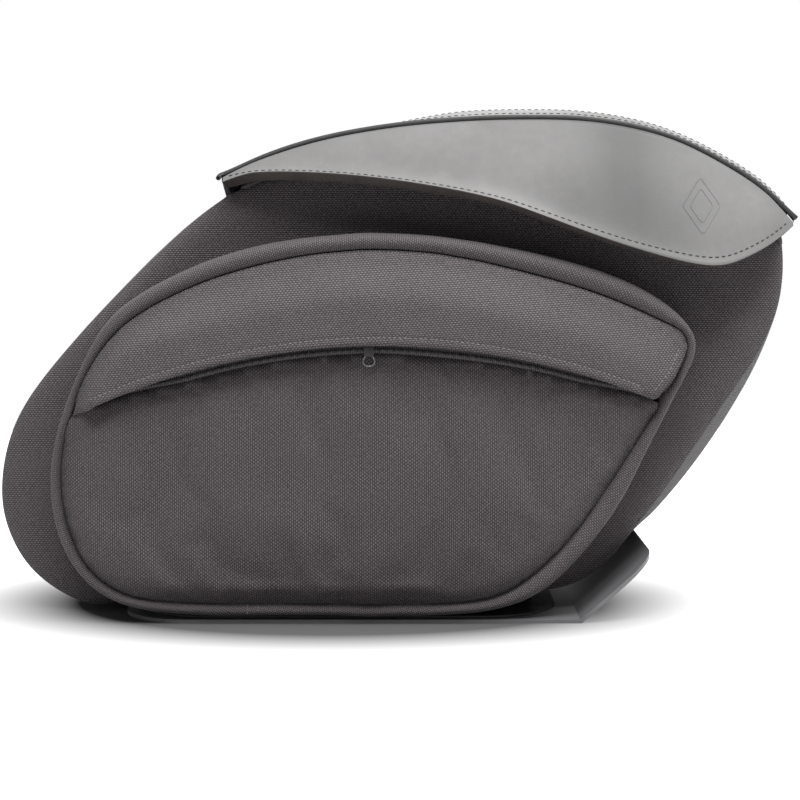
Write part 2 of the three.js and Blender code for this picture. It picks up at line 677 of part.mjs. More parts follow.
function bottomPad() {
  const z0 = PLATE + GAP + TRAY + GAP;
  return place(roundedPlate(-168, 92, -44, 74, 30, z0, PAD_TOP_Z), rubber, 'bottom_pad');
}

// ---------------------------------------------------------------- fasteners
function lathe(profile, make, name, x, y, z, segments = 14) {
  const geometry = new THREE.LatheGeometry(profile.map(([r, h]) => new THREE.Vector2(r, h)), segments);
  return place(indexed(geometry).translate(x, y, z), make, name);
}

// Each bolt passes the leg, a rubber spacer and the back board, to a washer and nut inside the bag.
function fasteners() {
  const legFront = LEG_BACK_Y - PLATE;
  const boardFront = BODY_REAR_Y + GAP;
  return BOLT_PLACES.flatMap(([x, z], i) => {
    const n = i + 1;
    const headY = LEG_BACK_Y - 0.2;
    const shank = headY - 71.6;
    const bolt = [
      [0, -shank], [BOLT_R, -shank], [BOLT_R, -2.6], [5.4, -0.2], [5.4, 0], [1.8, 0], [1.8, -1.4], [0, -1.4],
    ];
    const spacerY = boardFront + BOARD + GAP;
    const spacer = [[HOLE_R, 0], [10, 0], [10, legFront - GAP - spacerY], [HOLE_R, legFront - GAP - spacerY], [HOLE_R, 0]];
    const washer = [[HOLE_R, 0], [9, 0], [9, 1.4], [HOLE_R, 1.4], [HOLE_R, 0]];
    const nut = [[3.8, 0], [5.8, 0], [5.8, 5], [3.8, 5], [3.8, 0]];
    return [
      lathe(bolt, darkMetal, `bag_bolt_${n}`, x, headY, z),
      lathe(spacer, rubber, `rubber_spacer_${n}`, x, spacerY, z),
      lathe(washer, zinc, `washer_${n}`, x, boardFront - GAP - 1.4, z),
      lathe(nut, zinc, `lock_nut_${n}`, x, boardFront - 2 * GAP - 6.4, z, 6),
    ];
  });
}

// ---------------------------------------------------------------- the assembly
const saddlebag = new THREE.Group();
saddlebag.add(
  bodyFrontPanel(), bodyGusset(), frontStiffener(), backPanel(), rearPiping(), bottomBoard(), rimBinding(),
);
saddlebag.add(pocketGusset(), pocketFront(), pocketUpper(), stormFlap(), ...zipParts(), zipSlider(), zipPuller());
saddlebag.add(lidFlap(), lidTop(), lidStiffener(), lidPiping(), lidSkirt(), hingeStrap(), ...rivets());
saddlebag.add(...CATCHES.flatMap(magneticCatch));
saddlebag.add(supportBracket(), bottomTray(), bottomPad(), ...fasteners());

export default saddlebag;
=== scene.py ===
"""The looks of a motorcycle saddlebag on its support bracket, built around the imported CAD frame.

Metres, +Z up, the bag's outer side faces -Y. Places come from the frame's own nodes: outlines are found by
casting rays at them, and the new fabric, leather and thread is laid along those outlines.
"""
import math

import bmesh
import bpy
import numpy as np
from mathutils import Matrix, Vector, geometry, kdtree, noise
from mathutils.bvhtree import BVHTree


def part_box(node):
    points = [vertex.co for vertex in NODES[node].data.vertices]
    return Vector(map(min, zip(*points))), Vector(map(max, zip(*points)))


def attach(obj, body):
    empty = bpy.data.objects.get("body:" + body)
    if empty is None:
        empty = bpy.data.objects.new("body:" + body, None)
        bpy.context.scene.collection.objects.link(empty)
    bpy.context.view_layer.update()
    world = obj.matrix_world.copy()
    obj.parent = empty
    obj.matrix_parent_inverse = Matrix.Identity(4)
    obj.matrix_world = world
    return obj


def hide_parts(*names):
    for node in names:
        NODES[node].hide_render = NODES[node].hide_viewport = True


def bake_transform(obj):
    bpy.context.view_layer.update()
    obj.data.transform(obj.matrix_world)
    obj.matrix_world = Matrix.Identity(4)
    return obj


MM = 0.001
CLOTH_MAP = "cloth"  # the map, in metres, that weaves and grains are drawn in

# ---------------------------------------------------------------- driving dimensions
BODY_CENTRE = (0.0, 0.15)  # x and z inside the body and the pocket, from which rays look outwards
POCKET_CENTRE = (-0.02, 0.12)
BODY_FRONT_Y = -48 * MM  # the body's front panel
POCKET_FACE_Y = -88.6 * MM  # the pocket's front, where it lies flat
FLAP_FACE_Y = -89.2 * MM  # the storm flap, where it is sewn on
ROLL_TOP_Y = -90.6 * MM  # the crown of the roll round the pocket's edge
RAY_START_Y = -0.2  # in front of everything
ARC_CENTRE = (-0.012, -0.274)  # x and z of the middle of the zip's arc
SLIDER_ANGLE = math.radians(-0.9)  # where on that arc the slider stands
TOOTH_PITCH = 1.9 * MM
PANEL_SPACING = 5.5 * MM
WALL = 3.4 * MM  # padded body wall
EDGE_ROUND = 17 * MM  # width of the band where the body's front rolls back to its sides
EDGE_DEPTH = 5 * MM
SOFTEN = 4.5 * MM  # how far the frame's facets are averaged
FLAP_STAND = 14 * MM  # how far the storm flap's lower edge stands off the pocket
FLAP_END = ((0.1895, 0.1855), (0.1797, 0.1655), (0.1662, 0.1490))  # x and z down its free right edge
HEM = 5.3 * MM  # stitch row to edge on the storm flap
FABRIC_STITCH = 3.4 * MM
LEATHER_STITCH = 4.6 * MM
LEATHER_ROW = 3.4 * MM  # stitch row to edge on the lid
LEATHER = 3.2 * MM
CURL_REACH = 6 * MM  # how far up the lid's flap its lower edge's curl reaches
BEND_X = 0.150  # where the lid's leather bends over its end, and where its painted shade is centred
MARK_CENTRE = (0.199, 0.277)
MARK_HALF = (13 * MM, 19 * MM)
FLAP_INWARD = (0, 3 * MM, -0.6 * MM)  # from the CAD flap's outer face to its inner one
CLOTH_FRAMES = 20
CLOTH_CAP = 4.5 * MM  # the most that the cloth simulation may move a point
FLOOR_RADIUS = 1.3
PAINTED_SHADOW_CENTRE = (-0.045, 0)  # the centre of the floor's painted shadow under the object, where it does not glow
PAINTED_SHADOW_HALF = (0.19, 0.13)

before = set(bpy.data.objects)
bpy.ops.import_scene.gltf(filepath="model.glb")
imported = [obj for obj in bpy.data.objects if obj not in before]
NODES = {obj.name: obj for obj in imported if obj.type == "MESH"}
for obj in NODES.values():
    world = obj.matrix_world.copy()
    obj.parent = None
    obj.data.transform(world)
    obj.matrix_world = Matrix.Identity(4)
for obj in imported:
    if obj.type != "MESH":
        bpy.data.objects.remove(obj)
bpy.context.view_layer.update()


# ---------------------------------------------------------------- the camera
def make_camera():
    """A long lens a little above the bag, looking slightly down at its outer side."""
    data = bpy.data.cameras.new("camera")
    data.lens = 90
    data.sensor_width = 36
    camera = bpy.data.objects.new("camera", data)
    bpy.context.scene.collection.objects.link(camera)
    camera.location = (0.0, -1.400, 0.261)
    camera.rotation_euler = (math.radians(90 - 4.86), 0, 0)
    bpy.context.scene.camera = camera


# ---------------------------------------------------------------- outlines from the frame
def tree_over(*objects):
    """A tree for casting rays at the meshes of objects."""
    shape = bmesh.new()
    for obj in objects:
        shape.from_mesh(obj.data)
    tree = BVHTree.FromBMesh(shape)
    shape.free()
    return tree


def tree_of(*names):
    """A tree for casting rays at CAD nodes."""
    return tree_over(*[NODES[name] for name in names])


def outline(tree, y, centre, start=0.0, end=360.0, steps=720):
    """The (x, z) points where rays in the plane y, cast from outside towards centre, meet the tree.
    Angles are in degrees, clockwise from straight up. Rays that pass centre without a hit leave no point."""
    points = []
    for angle in np.radians(np.linspace(start, end, steps, endpoint=end - start < 360)):
        way = Vector((math.sin(angle), 0, math.cos(angle)))
        hit, _, _, reach = tree.ray_cast(Vector((centre[0], y, centre[1])) + way, -way)
        if hit is not None and reach < 1:
            points.append((hit.x, hit.z))
    return np.array(points)


def lengths(points, loop):
    """Running length along a line of points, one more than there are when it closes."""
    if loop:
        points = np.vstack([points, points[:1]])
    return np.concatenate([[0], np.cumsum(np.linalg.norm(np.diff(points, axis=0), axis=1))])


def evenly(points, count, closed=False):
    """The same line through count evenly spaced points."""
    points = np.asarray(points, float)
    run = lengths(points, closed)
    if closed:
        points = np.vstack([points, points[:1]])
    at = np.linspace(0, run[-1], count, endpoint=not closed)
    return np.stack([np.interp(at, run, points[:, k]) for k in range(points.shape[1])], axis=1)


def smoothed(points, closed=False, reach=SOFTEN):
    """An evenly spaced line with its facets averaged away over about reach. An open line keeps its ends."""
    points = np.array(points, float)
    spacing = np.linalg.norm(np.diff(points, axis=0), axis=1).mean()
    rounds = max(1, round(2 * (reach / spacing) ** 2))
    for _ in range(rounds):
        mean = (np.roll(points, 1, axis=0) + 2 * points + np.roll(points, -1, axis=0)) / 4
        if not closed:
            mean[0], mean[-1] = points[0], points[-1]
        points = mean
    return points


def filled(points, centre, reach=12):
    """A closed outline with notches narrower than twice reach points bridged."""
    arms = points - centre
    away = np.linalg.norm(arms, axis=1)
    grown = np.max([np.roll(away, k) for k in range(-reach, reach + 1)], axis=0)
    closed = np.min([np.roll(grown, k) for k in range(-reach, reach + 1)], axis=0)
    return centre + arms * (closed / away)[:, None]


def line_of(tree, y, centre, count):
    """A smooth closed outline of the tree at y."""
    line = filled(outline(tree, y, centre), np.array(centre))
    return smoothed(evenly(line, count, closed=True), closed=True)


def neighbours(points, closed):
    """The points after and before each point; an open line's end points stand in for those past them."""
    ahead, behind = np.roll(points, -1, axis=0), np.roll(points, 1, axis=0)
    if not closed:
        ahead[-1], behind[0] = points[-1], points[0]
    return ahead, behind


def moved_in(points, distance, closed=True):
    """A clockwise (x, z) line moved to its right, which is inwards, by a distance or one distance a point."""
    ahead, behind = neighbours(points, closed)
    way = ahead - behind
    way /= np.linalg.norm(way, axis=1)[:, None]
    right = np.stack([way[:, 1], -way[:, 0]], axis=1)
    return points + right * np.reshape(distance, (-1, 1))


def swell(x, y, z, size, seed=0.0):
    """Smooth noise from -1 to 1 with features of about size metres."""
    return noise.noise(Vector((x / size + seed, y / size, z / size)))


def ease(t):
    """A smooth step from 0 to 1 as t does the same."""
    t = min(1.0, max(0.0, t))
    return t * t * (3 - 2 * t)


# ---------------------------------------------------------------- mesh makers
def new_object(name, vertices, faces, materials, maps=None):
    """A smooth-shaded mesh object; maps holds each face's corner (u, v) places in metres."""
    mesh = bpy.data.meshes.new(name)
    mesh.from_pydata([tuple(v) for v in vertices], [], faces)
    for material in materials:
        mesh.materials.append(material)
    mesh.polygons.foreach_set("use_smooth", [True] * len(mesh.polygons))
    if maps is not None:
        layer = mesh.uv_layers.new(name=CLOTH_MAP)
        layer.data.foreach_set("uv", np.array([c for face in maps for c in face], float).ravel())
    mesh.update()
    obj = bpy.data.objects.new(name, mesh)
    bpy.context.scene.collection.objects.link(obj)
    return obj


def surface(name, rows, materials, loop=False, tube=False, material_of=None, caps=False):
    """A surface over rows of points. loop closes each row on itself, tube joins the last row to the first,
    and caps then close its open sides. material_of(row) gives a row's material slot."""
    rows = np.asarray(rows, float)
    count, per = rows.shape[:2]
    u = lengths(rows[count // 2], loop)
    v = lengths(rows[:, per // 3], tube)
    faces, maps, slots = [], [], []
    for i in range(count if tube else count - 1):
        for j in range(per if loop else per - 1):
            n, m = (i + 1) % count, (j + 1) % per
            faces.append((i * per + j, i * per + m, n * per + m, n * per + j))
            maps.append([(u[j], v[i]), (u[j + 1], v[i]), (u[j + 1], v[i + 1]), (u[j], v[i + 1])])
            slots.append(material_of(i) if material_of else 0)
    if caps:
        for i, step in ((0, -1), (per - 1, 1)):
            ring = [k * per + i for k in range(count)][::step]
            faces.append(tuple(ring))
            maps.append([(rows[k // per, k % per, 0], rows[k // per, k % per, 2]) for k in ring])
            slots.append(0)
    obj = new_object(name, rows.reshape(-1, 3), faces, materials, maps)
    obj.data.polygons.foreach_set("material_index", slots)
    return face_out(obj)


def edited(obj, change):
    """Runs change on an object's mesh as an editable shape."""
    shape = bmesh.new()
    shape.from_mesh(obj.data)
    shape.normal_update()
    change(shape)
    shape.to_mesh(obj.data)
    shape.free()
    return obj


def face_out(obj):
    """Makes a mesh's faces agree, outwards where it is closed."""
    return edited(obj, lambda shape: bmesh.ops.recalc_face_normals(shape, faces=shape.faces))


def panel(name, border, depth, materials, spacing=PANEL_SPACING, lines=(), turn=0.0):
    """A sheet inside a closed (x, z) border, evenly triangulated. depth(x, z, edge) gives y, where edge is
    the distance to the border. lines are further rows of points that the mesh follows."""
    border = np.asarray(border)
    fixed = [p for line in lines for p in line]
    points = [*border, *fixed]
    taken, rim = point_tree(points), dense_tree(border)
    low, high = border.min(0), border.max(0)
    for r, z in enumerate(np.arange(low[1], high[1], spacing * math.sqrt(3) / 2)):
        for x in np.arange(low[0] + (r % 2) * spacing / 2, high[0], spacing):
            if taken.find((x, 0, z))[2] > spacing * 0.6:
                points.append((x, z))
    loop = list(range(len(border)))
    flat, _, faces, *_ = geometry.delaunay_2d_cdt([Vector(p) for p in points], [], [loop], 1, 1e-7)
    used = sorted({i for face in faces for i in face})
    place_of = {old: new for new, old in enumerate(used)}
    flat = [flat[i] for i in used]
    faces = [[place_of[i] for i in face] for face in faces]
    vertices = [(p.x, depth(p.x, p.y, rim.find((p.x, 0, p.y))[2]), p.y) for p in flat]
    c, s = math.cos(turn), math.sin(turn)
    maps = [[(flat[i].x * c + flat[i].y * s, flat[i].y * c - flat[i].x * s) for i in f] for f in faces]
    return turn_to_front(new_object(name, vertices, faces, materials, maps))


def point_tree(points):
    """A tree of (x, z) points, to measure distances from them."""
    tree = kdtree.KDTree(len(points))
    for i, p in enumerate(points):
        tree.insert((p[0], 0, p[1]), i)
    tree.balance()
    return tree


def dense_tree(border):
    """A tree of closely spaced points along a closed border."""
    return point_tree(evenly(border, 900, closed=True))


def turn_to_front(obj):
    """Faces of a nearly flat sheet all towards -Y."""
    def turn(shape):
        bmesh.ops.reverse_faces(shape, faces=[f for f in shape.faces if f.normal.y > 0])
    return edited(obj, turn)


def apply_modifiers(obj):
    """Bakes an object's modifiers into its mesh."""
    graph = bpy.context.evaluated_depsgraph_get()
    graph.update()
    mesh = bpy.data.meshes.new_from_object(obj.evaluated_get(graph), depsgraph=graph)
    obj.modifiers.clear()
    obj.data = mesh
    return obj


def thicken(obj, thickness, inner=0):
    """Gives a sheet thickness behind its faces; the inner side takes the material that many slots on."""
    solid = obj.modifiers.new("thickness", "SOLIDIFY")
    solid.thickness = thickness
    solid.offset = -1
    solid.material_offset = inner
    solid.use_even_offset = False
    return apply_modifiers(obj)


def rope(name, points, radius, material, sides=12, closed=False, hollow=0.0):
    """A round cord through points; hollow, the radius of its bore, leaves it open at the ends."""
    points = np.asarray(points, float)
    ahead, behind = neighbours(points, closed)
    turns = [2 * math.pi * k / sides for k in range(sides)]

    def skin(r):
        rings = []
        for p, a, b in zip(points, ahead, behind):
            along = Vector(a - b).normalized()
            side = along.cross(Vector((0, 1, 0)))
            side = side.normalized() if side.length > 1e-6 else Vector((1, 0, 0))
            up = side.cross(along)
            rings.append([list(Vector(p) + side * (r * math.cos(t)) + up * (r * math.sin(t))) for t in turns])
        return np.array(rings)

    grid = skin(radius)
    if hollow:
        grid = np.concatenate([grid, skin(hollow)[::-1]])
    if hollow or closed:
        return surface(name, grid, [material], loop=True, tube=True)
    first, last = grid[0].mean(0), grid[-1].mean(0)
    grid = np.concatenate([np.repeat([[first]], sides, 1), grid, np.repeat([[last]], sides, 1)])
    return weld(surface(name, grid, [material], loop=True))


def weld(obj):
    """Merges points that coincide."""
    edited(obj, lambda shape: bmesh.ops.remove_doubles(shape, verts=shape.verts, dist=1e-6))
    return face_out(obj)


def stitches(name, points, normals, pitch, radius, material, share=0.68, sink=0.3):
    """A row of thread stitches along points, lying on the surface whose normals are given."""
    points = np.asarray(points, float)
    run = lengths(points, False)
    count = max(2, int(run[-1] / pitch))
    vertices, faces = [], []
    sides, rings = 6, ((0.0, 0.35), (0.18, 0.9), (0.5, 1.0), (0.82, 0.9), (1.0, 0.35))
    for k in range(count):
        start = (k + 0.5 - share / 2) * pitch
        centre_line = [start + share * pitch * t for t, _ in rings]
        at = np.stack([np.interp(centre_line, run, points[:, a]) for a in range(3)], axis=1)
        normal = Vector([np.interp(centre_line[2], run, np.asarray(normals)[:, a]) for a in range(3)])
        along = Vector(at[-1] - at[0]).normalized()
        side = along.cross(normal).normalized()
        out = side.cross(along).normalized()
        base = len(vertices)
        for (t, width), p in zip(rings, at):
            arch = radius * (1 - sink - 1.4 * (2 * t - 1) ** 4)
            for q in range(sides):
                angle = 2 * math.pi * q / sides
                across, rise = math.cos(angle) * radius * width, math.sin(angle) * radius * width + arch
                vertices.append(Vector(p) + side * across + out * rise)
        for r in range(len(rings) - 1):
            for q in range(sides):
                a = base + r * sides + q
                b = base + r * sides + (q + 1) % sides
                faces.append((a, b, b + sides, a + sides))
        faces.append(tuple(base + q for q in range(sides))[::-1])
        faces.append(tuple(base + (len(rings) - 1) * sides + q for q in range(sides)))
    return face_out(new_object(name, vertices, faces, [material]))


def dressed(obj, body, replaces=()):
    """Puts a finished piece on its body and hides the frame's nodes that it replaces."""
    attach(obj, body)
    if replaces:
        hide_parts(*replaces)
    return obj


def cloth_piece(obj, thickness, replaces):
    """Finishes a sheet of the bag's cloth, lined on its inner side."""
    return dressed(thicken(obj, thickness, 1), "carcass", replaces)


# ---------------------------------------------------------------- material helpers
class Surface:
    """A material whose nodes are added one call at a time."""

    def __init__(self, name):
        self.material = bpy.data.materials.new(name)
        self.material.use_nodes = True
        self.tree = self.material.node_tree
        self.shader = self.tree.nodes["Principled BSDF"]

    def feed(self, socket, value):
        """Links another node's output to a socket, or gives it a constant."""
        if isinstance(value, bpy.types.NodeSocket):
            self.tree.links.new(value, socket)
        else:
            socket.default_value = value

    def add(self, kind, *values, output=0, **settings):
        """A node with its inputs given in order, None for one that keeps its default; returns an output."""
        made = self.tree.nodes.new("ShaderNode" + kind)
        for key, value in settings.items():
            setattr(made, key, value)
        for socket, value in zip(made.inputs, values):
            if value is not None:
                self.feed(socket, value)
        return made.outputs[output]

    def math(self, operation, *values):
        return self.add("Math", *values, operation=operation)

    def wave(self, value):
        return self.math("SINE", value)

    def place(self, scale):
        """The cloth map multiplied by scale."""
        uv = self.add("UVMap", uv_map=CLOTH_MAP)
        return self.add("VectorMath", uv, None, None, scale, operation="SCALE")

    def position(self):
        """The place in the piece's own frame, so that a pattern moves with its piece."""
        return self.add("TexCoord", output=3)

    def split(self, vector):
        """A vector's three parts."""
        return self.add("SeparateXYZ", vector, output=slice(3))

    def noise(self, where, size, detail=3.0, roughness=0.5):
        """Noise from 0 to 1 with features of about size metres."""
        return self.add("TexNoise", where, None, 1 / size, detail, roughness, noise_dimensions="3D")

    def range(self, value, low, high, new_low=0.0, new_high=1.0):
        """The value carried from low..high to new_low..new_high, and held there."""
        return self.add("MapRange", value, low, high, new_low, new_high)

    def mix(self, share, first, second):
        """The first colour, turning into the second as share rises to 1."""
        made = self.tree.nodes.new("ShaderNodeMix")
        made.data_type = "RGBA"
        for number, value in ((0, share), (6, first), (7, second)):
            self.feed(made.inputs[number], value)
        return made.outputs[2]

    def bump(self, height, distance, strength=1.0, before=None):
        """A normal from a height map, laid over another normal where one is given."""
        made = self.tree.nodes.new("ShaderNodeBump")
        made.inputs["Strength"].default_value = strength
        made.inputs["Distance"].default_value = distance
        self.tree.links.new(height, made.inputs["Height"])
        if before is not None:
            self.tree.links.new(before, made.inputs["Normal"])
        return made.outputs[0]

    def set(self, **values):
        """Sets or links the shader's sockets; an underscore in a name stands for a space."""
        for key, value in values.items():
            self.feed(self.shader.inputs[key.replace("_", " ")], value)


def grey(level, warm=0.0):
    """A near-neutral linear colour; warm above 0 leans to brown."""
    return (level * (1 + warm), level, level * (1 - warm * 0.4), 1)


def plum(level):
    """The nylon's near-black with a trace of plum brown."""
    return (level * 1.09, level * 0.94, level * 1.0, 1)


# ---------------------------------------------------------------- materials
def nylon(name="nylon", light=0.112, dark=0.006, rib=1.4 * MM):
    """Heavy basket-woven nylon: ribs of staggered thread crowns, slubs, broad unevenness and a little lint."""
    s = Surface(name)
    across, up, _ = s.split(s.place(math.pi / rib))
    crowns = s.math("MULTIPLY", s.wave(across), s.wave(s.math("MULTIPLY", up, 1.25)))
    ribs = s.math("ABSOLUTE", s.wave(across))
    height = s.math("ADD", s.range(crowns, -1.0, 1.0, 0.0, 0.75), s.math("MULTIPLY", ribs, 0.6))
    flat = s.place(1.0)
    slub = s.noise(flat, 2.2 * MM, 2.0)
    broad = s.noise(flat, 45 * MM, 3.0)
    tone = s.math("MULTIPLY", s.range(height, 0.35, 1.3), s.range(slub, 0.3, 0.7, 0.7, 1.25))
    thread = s.mix(tone, plum(dark), plum(light))
    wear = s.mix(s.range(broad, 0.35, 0.7, 0.0, 0.15), thread, plum(light * 0.6))
    lint = s.range(s.noise(flat, 1.1 * MM, 1.0), 0.77, 0.80, 0.0, 0.4)
    colour = s.mix(lint, wear, grey(0.2, 0.02))
    broad_bump = s.bump(broad, 0.8 * MM, 0.5)
    s.set(Base_Color=colour, Roughness=s.range(height, 0, 1.3, 0.85, 0.6), Sheen_Weight=0.08,
          Sheen_Roughness=0.5, Specular_IOR_Level=0.35, Normal=s.bump(height, 0.4 * MM, 1.0, broad_bump))
    return s.material


def lining():
    """Thin black lining cloth with a fine square weave."""
    s = Surface("lining")
    across, up, _ = s.split(s.place(math.pi / (0.8 * MM)))
    weave = s.math("MULTIPLY", s.wave(across), s.wave(up))
    soft = s.noise(s.place(1.0), 30 * MM)
    s.set(Base_Color=s.mix(soft, grey(0.012), grey(0.03)), Roughness=0.85, Normal=s.bump(weave, 0.15 * MM, 0.6))
    return s.material


def leather(low=0.118, high=0.156):
    """Smooth finished leather: fine pores, soft cloudy tone, painted shade where it bends over the lid's
    end, faint handling marks and a satin coat."""
    s = Surface("lid_leather")
    where = s.position()
    pores = s.add("TexVoronoi", where, None, 1 / (0.9 * MM), feature="F1")
    cloud = s.noise(where, 70 * MM, 3.0)
    speck = s.noise(where, 6 * MM, 4.0)
    tone = s.math("ADD", s.range(cloud, 0.3, 0.7, 0.0, 0.75), s.range(speck, 0.35, 0.65, 0.0, 0.25))
    scuffs = s.range(s.noise(where, 12 * MM, 6.0, 0.7), 0.62, 0.72, 0.0, 0.25)
    # painted shade: the leather is darkened where it bends over the lid's end, broken up by the cloud noise
    from_bend = s.math("ABSOLUTE", s.math("SUBTRACT", s.split(where)[0], BEND_X))
    painted_bend_shade = s.math("MULTIPLY", s.range(from_bend, 0.008, 0.055, 1.0, 0.0), s.range(cloud, 0.2, 0.6, 0.5, 0.9))
    plain = s.mix(scuffs, s.mix(tone, grey(low, 0.02), grey(high, 0.02)), grey(high * 1.15, 0.02))
    colour = s.mix(painted_bend_shade, plain, grey(low * 0.55, 0.02))
    rough = s.range(cloud, 0.3, 0.7, 0.68, 0.58)
    s.set(Base_Color=colour, Roughness=rough, Coat_Weight=0.06, Coat_Roughness=0.5,
          Normal=s.bump(pores, 0.08 * MM, 0.5, s.bump(speck, 0.25 * MM, 0.35)))
    return s.material


def raw_leather():
    """A cut, fibrous leather edge."""
    s = Surface("raw_leather")
    where = s.position()
    fibre = s.noise(where, 0.9 * MM, 5.0, 0.7)
    patch = s.noise(where, 9 * MM, 2.0)
    tone = s.math("MULTIPLY", fibre, s.range(patch, 0.3, 0.7, 0.6, 1.3))
    s.set(Base_Color=s.mix(tone, (0.003, 0.0024, 0.0022, 1), (0.028, 0.020, 0.017, 1)), Roughness=0.88,
          Normal=s.bump(fibre, 0.5 * MM, 0.9))
    return s.material


def suede():
    """The flesh side of the lid's leather."""
    s = Surface("suede")
    nap = s.noise(s.position(), 1.4 * MM, 5.0, 0.65)
    s.set(Base_Color=s.mix(nap, grey(0.012, 0.1), grey(0.045, 0.1)), Roughness=0.95, Sheen_Weight=0.2,
          Normal=s.bump(nap, 0.3 * MM, 0.7))
    return s.material


def thread(name, level):
    """Twisted sewing thread."""
    s = Surface(name)
    twist = s.noise(s.position(), 0.5 * MM, 2.0)
    s.set(Base_Color=s.mix(twist, grey(level * 0.7), grey(level * 1.3)), Roughness=0.6,
          Normal=s.bump(twist, 0.15 * MM, 0.8))
    return s.material


def tape(level=0.016):
    """Ribbed black tape, as on bindings and piping."""
    s = Surface("binding_tape")
    rib = s.add("TexWave", s.position(), 1 / (1.4 * MM), 2.0, wave_type="BANDS", bands_direction="DIAGONAL")
    dust = s.noise(s.position(), 8 * MM, 4.0)
    s.set(Base_Color=s.mix(dust, grey(level * 0.7), grey(level * 1.9)), Roughness=0.6,
          Normal=s.bump(rib, 0.12 * MM, 0.5))
    return s.material


def ribbed_tape():
    """Zip tape: close upright ribs over a dark ground."""
    s = Surface("zip_tape")
    across = s.math("MULTIPLY", s.split(s.position())[0], math.pi / (1.35 * MM))
    ribs = s.math("ABSOLUTE", s.wave(across))
    s.set(Base_Color=s.mix(s.range(ribs, 0.2, 1.0), plum(0.008), plum(0.11)), Roughness=0.75,
          Normal=s.bump(ribs, 0.3 * MM, 0.8))
    return s.material


def powder_coat():
    """Satin black-grey paint over sheet metal, slightly pitted, thinner along the edges."""
    s = Surface("bracket_paint")
    where = s.position()
    orange_peel = s.noise(where, 1.6 * MM, 2.0)
    cloud = s.noise(where, 60 * MM, 3.0)
    edge = s.range(s.add("NewGeometry", output=7), 0.52, 0.60, 0.0, 0.5)
    paint = s.mix(cloud, (0.112, 0.109, 0.118, 1), (0.155, 0.151, 0.163, 1))
    s.set(Base_Color=s.mix(edge, paint, grey(0.16)), Metallic=0.1,
          Roughness=s.range(cloud, 0.3, 0.7, 0.45, 0.36), Normal=s.bump(orange_peel, 0.12 * MM, 0.5))
    return s.material


def plastic(name="black_plastic", level=0.02, rough=0.5):
    """Fine-textured moulded plastic."""
    s = Surface(name)
    where = s.position()
    grain = s.add("TexVoronoi", where, None, 1 / (0.8 * MM), feature="F1")
    dust = s.noise(where, 25 * MM, 4.0)
    s.set(Base_Color=s.mix(dust, grey(level * 0.75), grey(level * 1.5)),
          Roughness=s.range(dust, 0.3, 0.7, rough - 0.06, rough + 0.08), Normal=s.bump(grain, 0.12 * MM, 0.6))
    return s.material


def metal(name, level, rough, shine=1.0):
    """Plated or blackened metal with faint brushing and finger marks."""
    s = Surface(name)
    where = s.position()
    marks = s.noise(where, 3 * MM, 5.0, 0.6)
    s.set(Base_Color=s.mix(marks, grey(level * 0.8), grey(level * 1.15)), Metallic=shine,
          Roughness=s.range(marks, 0.3, 0.7, rough - 0.05, rough + 0.1), Normal=s.bump(marks, 0.05 * MM, 0.4))
    return s.material


def rubber():
    """Closed-cell black rubber."""
    s = Surface("rubber")
    cells = s.add("TexVoronoi", s.position(), None, 1 / (1.1 * MM), feature="F1")
    dust = s.noise(s.position(), 14 * MM, 4.0)
    s.set(Base_Color=s.mix(dust, grey(0.010), grey(0.028)), Roughness=0.85, Normal=s.bump(cells, 0.2 * MM, 0.7))
    return s.material


make_camera()
NYLON = nylon()
# painted light: a lighter copy of the nylon for the storm flap, which tilts up towards the lights
LIT_FLAP_NYLON = nylon("flap_nylon_painted_light", light=0.135, dark=0.010)
# painted light: a lighter copy of the nylon for the pocket's roll, whose crest faces up; it also dresses the
# front seam's welt
LIT_ROLL_NYLON = nylon("roll_nylon_painted_light", light=0.12, dark=0.008)
LINING = lining()
LEATHER_FACE = leather()
RAW = raw_leather()
SUEDE = suede()
GREY_THREAD = thread("grey_thread", 0.15)
BLACK_THREAD = thread("black_thread", 0.012)
TAPE = tape()
ZIP_TAPE = ribbed_tape()
PAINT = powder_coat()
PLASTIC = plastic()
BOARD = plastic("board_plastic", 0.016, 0.6)
ZINC = metal("zinc_steel", 0.5, 0.33)
DARK_METAL = metal("black_metal", 0.035, 0.3, 0.85)
RING_METAL = metal("ring_metal", 0.16, 0.25)
RUBBER = rubber()
# painted shade: a darker copy of the nylon for the band round the body's sides and bottom
SHADED_SIDE_NYLON = nylon("side_nylon_painted_shade", light=0.066, dark=0.004)


# ---------------------------------------------------------------- the body
def body_depth(x, z, edge):
    """The front panel's y: slightly slack, folded at the right, and rolling back to the sides."""
    roll = max(0.0, 1 - edge / EDGE_ROUND)
    back = EDGE_DEPTH * (1 - math.sqrt(max(0.0, 1 - roll * roll)))
    slack = 1.1 * MM * swell(x, 0, z, 0.09, 3.0) + 0.5 * MM * swell(x, 0, z, 0.03, 8.0)
    folds = 3.2 * MM * swell(x * 0.8 + z, 0, (x - z) * 0.25, 0.03, 6.0) * ease((x - 0.14) / 0.05)
    return BODY_FRONT_Y + back + (slack + folds) * (1 - roll)


def body_outlines():
    """Matching open outlines of the front edge and the rear, from the left rim round the bottom."""
    tree = tree_of("body_gusset")
    low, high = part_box("body_gusset")
    lines = [outline(tree, y, BODY_CENTRE, -30, -300, 900) for y in (low.y + 1 * MM, high.y - 1 * MM)]
    return [smoothed(evenly(line, 220)) for line in lines]


